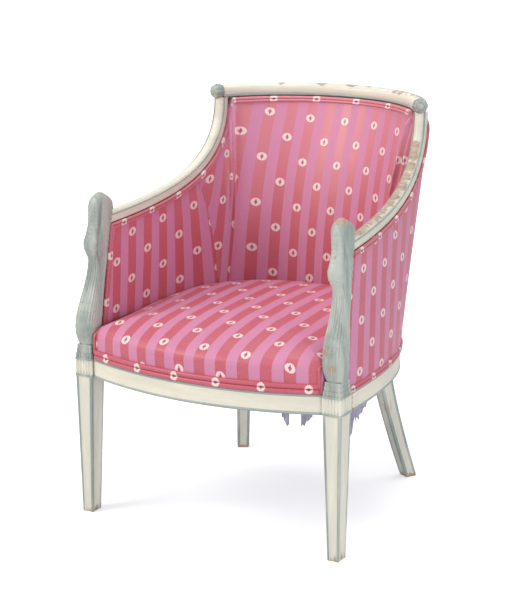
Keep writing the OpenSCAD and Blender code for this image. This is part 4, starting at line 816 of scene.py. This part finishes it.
def cords(w, h, arc=9):
    """The outline of two cords side by side on a flat base, as places across and out."""
    r = w / 4
    lobe = [(r * cos(pi * (1 - k / arc)), h - r + r * sin(pi * (1 - k / arc))) for k in range(arc + 1)]
    return ([(-w / 2, 0)] + [(x - r, y) for x, y in lobe[:-1]] + [(0, h - r * 0.9)] + [(x + r, y) for x, y in lobe[1:]]
            + [(w / 2, 0), (0, 0)])


def welt(name, rows, w, h, start, every, node):
    """rows are (middle, way across, way out). Wreaths lie start mm from its first end, every so many mm."""
    outline, run = cords(w, h), [0.0]
    for a, b in zip(rows, rows[1:]):
        run.append(run[-1] + (b[0] - a[0]).length)
    n, m = len(outline), len(rows) - 1

    def place(u, v):
        (middle, across, way), (x, y) = rows[round(v * m)], outline[round(u * n) % n]
        return middle + across * x + way * y

    def cut(p, u, v):
        return STRIPE / 2 + outline[round(u * n) % n][0], ((run[round(v * m)] - start) / every + 0.5) * DROP

    shown = piece(name, skin(n, m, place, cut, True, True), [SILK], "coral_welt_silk", [node], sharp=55)


WELT_W, FRONT_WELT_W, WALL_WREATHS = 13, 22, 103
LAP, WELT_LIFT = 6.8, 0.8     # from the edge to the middle of a welt, and from the wall to its base


def welt_frame(face, s, t, side, down):
    """On a face of the wall: side and down are how far the welt draws in from an upright and from a level edge."""
    p, way = face(s, t), out_way(s, t) * (1 if face is outside else -1)
    along, level = face(s - side * 0.01, t) - p, face(s, t - down * 0.03) - p
    across = along.normalized() + level.normalized()
    return p + way * WELT_LIFT + across * LAP, across, way


inside_rows = [welt_frame(inside, -SHOW_END, i / 40, -1, 0) for i in range(39)]
inside_rows.append(welt_frame(inside, -SHOW_END, 1, -1, 1))
inside_rows += [welt_frame(inside, SHOW_END * (i / 120 - 1), 1, 0, 1) for i in range(2, 239)]
inside_rows.append(welt_frame(inside, SHOW_END, 1, 1, 1))
inside_rows += [welt_frame(inside, SHOW_END, 1 - i / 40, 1, 0) for i in range(2, 41)]
welt("shown_inside_welt", inside_rows, WELT_W, 5.8, 55, WALL_WREATHS, "inside_welt")
for edge, t, down, start in (("outside", 1, 1, 40), ("base", 0, -1, 70)):
    welt(f"shown_{edge}_welt", [welt_frame(outside, SHOW_END * (i / 110 - 1), t, 0, down) for i in range(221)],
         WELT_W, 4.6, start, WALL_WREATHS, f"{edge}_welt")
end = asin((BLOCK_IN_X - 9) / BOW_R)
front_rows = []
for i in range(97):
    q = mix(-end, end, i / 96)
    out = Vector((sin(q), -cos(q), 0))
    front_rows.append((Vector((0, BOW_Y, RAIL_TOP + SOFT_GAP + FRONT_WELT_W / 2)) + out * (BOW_R - 1.5), UP, out))
welt("shown_seat_front_welt", front_rows, FRONT_WELT_W, 7.6, 140, 98, "seat_front_welt")

# Seat: a tight sprung seat under one cloth, rounded over the front
SEAT_GAP, SEAT_CORNER, SEAT_LEVELS = 1.3, 8, 60
BORDER = 0.3                        # the upright border's share of the way from the rail to the seat's middle
SEAT_STRIPE, SEAT_WREATHS = 48.7, 127
WREATH_AT = Vector((-137, 135))     # the middle of one wreath on the seat
SEAT_SIDE_X = min(inside(1, 0).x - SEAT_GAP, BLOCK_IN_X - 0.2)
# Half its outline, from the middle of the front to the middle of the back
SEAT_RUN = [("bow", i / 34) for i in range(35)] + [("turn", i / 5) for i in range(1, 5)] \
    + [("wall", 1 - i / 56) for i in range(1, 57)]
# Its top, from the rim to the middle: how far out each row lies and how far below the crown, as shares
SEAT_ROWS = [(0, 1, 1), (1, 0.995, 0.89), (2, 0.985, 0.78), (3, 0.95, 0.60), (4, 0.89, 0.46), (5, 0.78, 0.31),
             (6, 0.60, 0.16), (7, 0.35, 0.05), (8, 0.10, 0.0), (9, 0.01, 0.0)]
SPOKES = 2 * (len(SEAT_RUN) - 1)


def seat_edge(k, z):
    """The seat's outline at a height: the bow of the front, the turn by the swan, and the inside of the wall."""
    kind, at = SEAT_RUN[k]
    bow_end = asin((SEAT_SIDE_X - SEAT_CORNER) / BOW_R)
    if kind == "bow":
        return Vector((BOW_R * sin(bow_end * at), BOW_Y - BOW_R * cos(bow_end * at)))
    if kind == "turn":
        q = pi / 2 * at
        return Vector((SEAT_SIDE_X - SEAT_CORNER * (1 - sin(q)),
                       BOW_Y - BOW_R * cos(bow_end) + SEAT_CORNER * (1 - cos(q))))
    t = max(0, (z - INSIDE_Z) / (top_edge(at, -1).z - INSIDE_Z))
    p = inside(at, t, -SEAT_GAP)
    return Vector((min(p.x, SEAT_SIDE_X) if at > 0.9 else p.x, p.y))


def seat_place(u, v):
    """u runs round from the middle of the front, v up the border and in over the top."""
    k = round(u * SPOKES) % SPOKES
    side, k = (1, k) if k <= SPOKES // 2 else (-1, SPOKES - k)
    kind, at = SEAT_RUN[k]
    drop, low = SEAT_DROP, RAIL_TOP + SOFT_GAP
    if kind == "wall":
        drop, low = mix(SEAT_BACK_DROP, SEAT_DROP, smooth((at - 0.7) / 0.3)), LIP_TOP + 1.8
    rim = SEAT_TOP - drop
    if v < BORDER:
        share, z = 1, mix(low, rim, v / BORDER)
    else:
        share, fall = through(SEAT_ROWS, (v - BORDER) / (1 - BORDER) * SEAT_ROWS[-1][0])
        z = SEAT_TOP - drop * fall
    e = seat_edge(k, min(z, rim))
    p = Vector((side * e.x * share, SEAT_MID_Y + (e.y - SEAT_MID_Y) * share, z))
    # the cloth stands a little proud along the front border, and the hair under it lies uneven
    front = smooth((40 - p.y) / 60) * smooth((245 - abs(p.x)) / 60)
    p.y -= front * 2.6 * sin(pi * clamp((z - 378) / 66)) * smooth((share - 0.8) / 0.15)
    sway = noise.noise(Vector((p.x, p.y, 7)) / 95) * 1.6 + noise.noise(Vector((p.x, p.y, 3)) / 38) * 0.5
    p.z += (1.6 + sway) * smooth((1 - share) / 0.15)
    return p


seat_reach = {}


def seat_cut(p, u, v):
    """The cloth runs straight from front to back, and over the roll of the front without a seam. What the fall
    over the roll takes up is kept in seat_reach."""
    spoke = round(u * SPOKES) % SPOKES
    if spoke not in seat_reach:
        place, extra, rows = seat_place(spoke / SPOKES, 1), 0.0, {SEAT_LEVELS: 0.0}
        for level in range(SEAT_LEVELS - 1, -1, -1):
            nxt = seat_place(spoke / SPOKES, level / SEAT_LEVELS)
            step = nxt - place
            extra += step.length - sqrt(step.x ** 2 + step.y ** 2)
            rows[level], place = extra, nxt
        seat_reach[spoke] = rows
    away = Vector((p.x, p.y - SEAT_MID_Y)).normalized() if v < 1 else Vector((0, 1))
    y = p.y + 1.15 * seat_reach[spoke][round(v * SEAT_LEVELS)] * (1 if away.y > 0 else -1) * min(1, 2 * abs(away.y))
    x = p.x + 0.06 * (p.y - WREATH_AT.y)
    return ((x - WREATH_AT.x) / SEAT_STRIPE + 0.5) * STRIPE, ((y - WREATH_AT.y) / SEAT_WREATHS + 0.5) * DROP


seat = piece("shown_seat", skin(SPOKES, SEAT_LEVELS, seat_place, seat_cut, True, True), [SILK],
             "striped_silk", ["seat_cover", "seat_stuffing"], sharp=0)

# Short welts round the seat's front corners, beside the swans
BEND = 36     # the spoke of the seat at which they turn back, up the border and then along its rim
path = [(BEND, 0.08 + 0.24 * i / 12) for i in range(13)] + [(BEND + i, 0.34 + 0.004 * i) for i in range(1, 12)]
spots = [seat_place(k / SPOKES, v) for k, v in path]
for side, sign in (("left", 1), ("right", -1)):
    rows = []
    for i, p in enumerate(spots):
        way = (spots[min(len(spots) - 1, i + 1)] - spots[max(0, i - 1)]).normalized()
        out = (p - Vector((p.x * 0.5, p.y + 25, p.z - 12 - 12 * smooth(i / 20)))).normalized()
        out = (out - way * out.dot(way)).normalized()
        across = way.cross(out)
        rows.append((Vector((sign * (p.x - 5), p.y + 1, p.z)), Vector((sign * across.x, across.y, across.z)),
                     Vector((sign * out.x, out.y, out.z))))
    welt(f"shown_seat_corner_welt_{side}", rows, WELT_W, 5.5, 200, 400, "seat_front_welt")

# Back and arms: silk over hair pads, closed round their edges, with a plain seam between them
INSIDE_WREATHS = 105.5              # one wreath to the next below it, on the walls' cloth


def seam(t):
    return mix(SEAM_FOOT, SEAM_TOP, t)


def on_hand(sign, first, last):
    """A cover's run from place first(t) to last(t), or, where sign is -1, the same on the sitter's right."""
    return (first, last) if sign > 0 else (lambda t: -last(t), lambda t: -first(t))


def pad_of(face, run, depth, full, name, across, up, cut, stands_for):
    """A pad on a face of the wall. Its show face lies full proud of the plan and is drawn in along every edge,
    where it is tacked or sewn."""
    from_s, to_s = run

    def spot(u, v):
        turn = u * 2 % 2
        t = crowd(turn if turn <= 1 else 2 - turn, 0.4)
        return mix(from_s(t), to_s(t), crowd(v, 0.55)), t, turn < 1

    def place(u, v):
        s, t, show = spot(u, v)
        # about how high the pad is here, and how far its nearer upright edge lies, in millimetres
        high, edge = mix(450, 300, abs(s)), min(s - from_s(t), to_s(t) - s) * 620
        drawn = 3.4 * exp(-(edge / 5.5) ** 2) + 2.6 * exp(-((1 - t) * high / 7) ** 2) + 2.6 * exp(-(t * high / 9) ** 2)
        if show:
            p = Vector((s * 600, t * high, 0))
            sway = noise.noise(p / 110) * full * 0.7 + noise.noise(p / 42) * full * 0.2
            pucker = 0.5 * exp(-(edge / 16) ** 2) * noise.noise(Vector((0, p.y / 9, s * 8)))
            # the hair is packed full where back and arm meet, and the cloth rounds the corner
            packed = 9 * exp(-((abs(s) - 0.512) / 0.035) ** 2) * smooth((1 - t) * high / 30) if face is inside else 0
            return face(s, t, min(depth(s, t) - 0.6, drawn - full - sway - pucker) - packed)
        return face(s, t, depth(s, t))

    shown = piece(name, skin(2 * up, across, place, lambda p, u, v: cut(p, *spot(u, v)[:2]), True, True), [SILK],
                  "striped_silk", stands_for, sharp=0)


def back_cut(p, s, t):
    """Stripes crowd a little from the sitter's right to the left, and the rows of wreaths rise on the right."""
    x = p.x if abs(s) < CORNER else inside(CORNER if s > 0 else -CORNER, t).x
    k = (42.2 - sqrt(42.2 ** 2 - 1.6 * (x - 17))) / 0.8
    k += (1 if s > 0 else -1) * 9 * max(0, abs(s) - CORNER)
    top = 58 - 20 * (min(170, max(0, -p.x - 40)) / 118) ** 1.3
    fall = (inside(s, 1) - p).length if abs(s) < CORNER else (CREST_Z - TOP_GAP - p.z) * 1.02
    return (k + 0.5) * STRIPE, ((fall - top) / INSIDE_WREATHS + 0.5) * DROP


def arm_cut(p, s, t):
    """Upright stripes, with wreaths' rows that rise a little towards the back."""
    return ((p.y - 136) / 56 + 0.5) * STRIPE, ((597 - p.z + 0.1 * p.y) / INSIDE_WREATHS + 0.5) * DROP


turns = {}     # where the outside turns, found once for each height


def past_turn(p, t, y=190):
    """How far back a point of the outside lies, measured along the wall once it turns behind y."""
    if p.y < y:
        return p.y
    if t not in turns:
        low, high = 0.3, 0.99
        for _ in range(24):
            mid = (low + high) / 2
            low, high = (mid, high) if outside(mid, t).y > y else (low, mid)
        turns[t] = outside(low, t)
    return y + sqrt((abs(p.x) - turns[t].x) ** 2 + (p.y - turns[t].y) ** 2)


def outside_arm_cut(p, s, t):
    """Stripes that lean with the wall, measured along it past the turn."""
    x = past_turn(p, t) - 0.2 * (p.z - 550)
    return ((x - 98) / 60.5 + 0.5) * STRIPE, ((608.7 - p.z - 0.105 * p.y) / INSIDE_WREATHS + 0.5) * DROP


def outside_back_cut(p, s, t):
    return (p.x / 50 + 0.5) * STRIPE, ((640 - p.z) / INSIDE_WREATHS + 0.5) * DROP


def hair_pad(s, t):
    return COVER_T + pad_depth(abs(s), t)


def wadding(s, t):
    return OUTSIDE_T


def outer_seam(t):
    return OUTER_SEAM


def show_end(t):
    return SHOW_END


pad_of(inside, (lambda t: -seam(t), seam), hair_pad, 1.6, "shown_inside_back", 150, 60, back_cut,
       ["inside_back_cover", "back_stuffing"])
pad_of(outside, (lambda t: -OUTER_SEAM, outer_seam), wadding, 1.2, "shown_outside_back", 80, 50, outside_back_cut,
       ["outside_back_cover"])
for side, sign in (("left", 1), ("right", -1)):
    pad_of(inside, on_hand(sign, seam, show_end), hair_pad, 1.4, f"shown_inside_arm_{side}", 72, 50, arm_cut,
           [f"inside_arm_cover_{side}", f"arm_stuffing_{side}"])
    pad_of(outside, on_hand(sign, outer_seam, show_end), wadding, 1.0, f"shown_outside_arm_{side}", 110, 50,
           outside_arm_cut, [f"outside_arm_cover_{side}"])

# Hidden cloth: webbing bands, hessian and the dust cover, cut by the plan


def cut_from(node):
    """A merged copy of a hidden cloth as it was planned."""
    bm = bmesh.new()
    bm.from_mesh(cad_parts[node].data)
    bmesh.ops.remove_doubles(bm, verts=bm.verts, dist=0.01 * MM)
    bmesh.ops.scale(bm, verts=bm.verts, vec=(1 / MM, 1 / MM, 1 / MM))
    bmesh.ops.translate(bm, verts=bm.verts, vec=(0, MID_Y, 0))
    bmesh.ops.recalc_face_normals(bm, faces=bm.faces)
    if "hessian" in node and node != "spring_hessian":
        # drawn tight into the corners, behind the pads
        for v in bm.verts:
            v.co += Vector((v.co.x, v.co.y - 300, 0)).normalized() * 3 * smooth((abs(v.co.x) - 205) / 15) \
                * smooth((320 - abs(v.co.y - 520)) / 30) * smooth((v.co.z - 500) / 100)
    return bm


def cloth(node, finish_of, slot, flat, area, rests_on):
    shown = piece(f"shown_{node}", cut_from(node), [finish_of], slot, [node], sharp=30)
    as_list(rests_on)


seat_frame, back_frame = ["front_seat_rail", "back_seat_rail"], ["back_stuffing_rail", "crest_rail"]
for node, flat, area, rests_on in (
        ("seat_webbing", (0.05, 5.60), 0.280, seat_frame),
        ("spring_hessian", (0.63, 0.61), 0.310, [*seat_frame, "seat_springs"]),
        ("back_webbing", (0.05, 2.16), 0.108, back_frame),
        ("back_hessian", (0.62, 0.45), 0.251, back_frame),
        ("arm_hessian_left", (0.42, 0.31), 0.100, ["arm_stuffing_rail_left", "arm_rail_left"]),
        ("arm_hessian_right", (0.42, 0.31), 0.100, ["arm_stuffing_rail_right", "arm_rail_right"])):
    cloth(node, LINEN, "linen_and_hair", flat, area, rests_on)
cloth("dust_cover", LILAC, "lilac_cotton", (0.63, 0.61), 0.316, seat_frame)

# A larger torn tail of the dust cover, hanging inside the left side rail


def torn_tail(u, v):
    drop = mix(68, 40 - 9 * u, smooth((u - 0.30) / 0.14)) * (1 + 0.16 * noise.noise(Vector((u * 14, 2, 5))))
    return Vector((288 + 4 * v * sin(11 * u + 1), 76 + 100 * u - 6 * v * u, 311.6 - v * drop))


tail = piece("shown_torn_tail", skin(36, 12, torn_tail), [LILAC], "lilac_cotton", thick=0.6)

# Coil springs, waisted, tied down by the hessian over them
SPRING_ROWS, SPRING_PITCH, SPRING_R, SPRING_WAIST, SPRING_TURNS, WIRE_R = 3, 130, 40, 9, 4.5, 1.8


def coil(x, y):
    low, high, rows = RAIL_Z + WIRE_R + 0.2, LIP_TOP - WIRE_R - 0.4, []
    for i in range(136):
        t = i / 135
        q, r = 2 * pi * SPRING_TURNS * t, SPRING_R - WIRE_R - SPRING_WAIST * sin(pi * t)
        c = Vector((x + r * cos(q), y + r * sin(q), mix(low, high, smooth(t * 0.5) + smooth(0.5 + t * 0.5) - 0.5)))
        rows.append(circle(c, Vector((cos(q), sin(q), 0)), WIRE_R, 8))
    return sweep(rows)


coils = [coil((i - 1) * SPRING_PITCH, SEAT_MID_Y + (j - 1) * SPRING_PITCH)
         for i in range(SPRING_ROWS) for j in range(SPRING_ROWS)]
piece("shown_seat_springs", together(coils[0], *coils[1:]), [STEEL], "steel", ["seat_springs"])

# Frame pieces that stay as planned
for node in ("joint_dowels", "corner_blocks", "back_stuffing_rail", "arm_stuffing_rail_left",
             "arm_stuffing_rail_right", "frame_screws"):
    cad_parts[node].material_slots[0].material = STEEL if node == "frame_screws" else BEECH

# Floor and light: a pale studio sweep and one large soft light from the left, as the photograph has
floor_mesh = bpy.data.meshes.new("studio_floor")
bm = bmesh.new()
bmesh.ops.create_grid(bm, x_segments=1, y_segments=1, size=60)
bm.to_mesh(floor_mesh)
bm.free()
floor = placed("studio_floor", floor_mesh)
# Matt white paper, burnt out to pure white wherever the chair does not shade it
paper, t = finish("studio_paper")
seen = add(t, "ShaderNodeLightPath")
spread = add(t, "ShaderNodeVectorMath", add(t, "ShaderNodeTexCoord", out=3), operation="LENGTH", out=1)
burn = add(t, MATH, seen, add(t, STEP, spread, 0.7, 2.4, 0.40, 0.85, **SOFT), **TIMES)
add(t, "ShaderNodeOutputMaterial", add(
    t, "ShaderNodeAddShader", add(t, "ShaderNodeBsdfDiffuse", "#F2F2F2"),
    add(t, "ShaderNodeEmission", "#FFFFFF", burn)))
floor_mesh.materials.append(paper)

world = bpy.data.worlds.new("studio")
bpy.context.scene.world = world
world.use_nodes = True
sky = world.node_tree
sky.nodes.clear()
rays = add(sky, "ShaderNodeLightPath").node.outputs
seen = add(sky, MATH, rays["Is Camera Ray"], rays["Is Glossy Ray"], operation="MAXIMUM")
seen = add(sky, MATH, seen, rays["Is Transmission Ray"], operation="MAXIMUM")
add(sky, "ShaderNodeOutputWorld", add(
    sky, "ShaderNodeMixShader", seen, add(sky, "ShaderNodeBackground", "#F4F6FA", 0.55),
    add(sky, "ShaderNodeBackground", "#FFFFFF", 1.0)))


def lamp(name, place, aim, size, watts, tint):
    light = bpy.data.lights.new(name, "AREA")
    light.shape, light.size, light.energy, light.color = "SQUARE", size, watts, linear(tint)[:3]
    made = placed(name, light)
    made.location = place
    made.rotation_euler = (Vector(aim) - Vector(place)).to_track_quat("-Z", "Y").to_euler()


lamp("key_light", (-2.2, -2.6, 3.0), (0, 0, 0.45), 2.0, 100, "#FFFAF4")
lamp("fill_light", (2.8, -1.8, 1.0), (0, 0, 0.4), 1.8, 36, "#F6F9FF")
lamp("top_light", (0.2, 0.6, 3.2), (0, 0, 0.4), 1.6, 30, "#FFFFFF")
bpy.context.scene.view_settings.view_transform = "Standard"
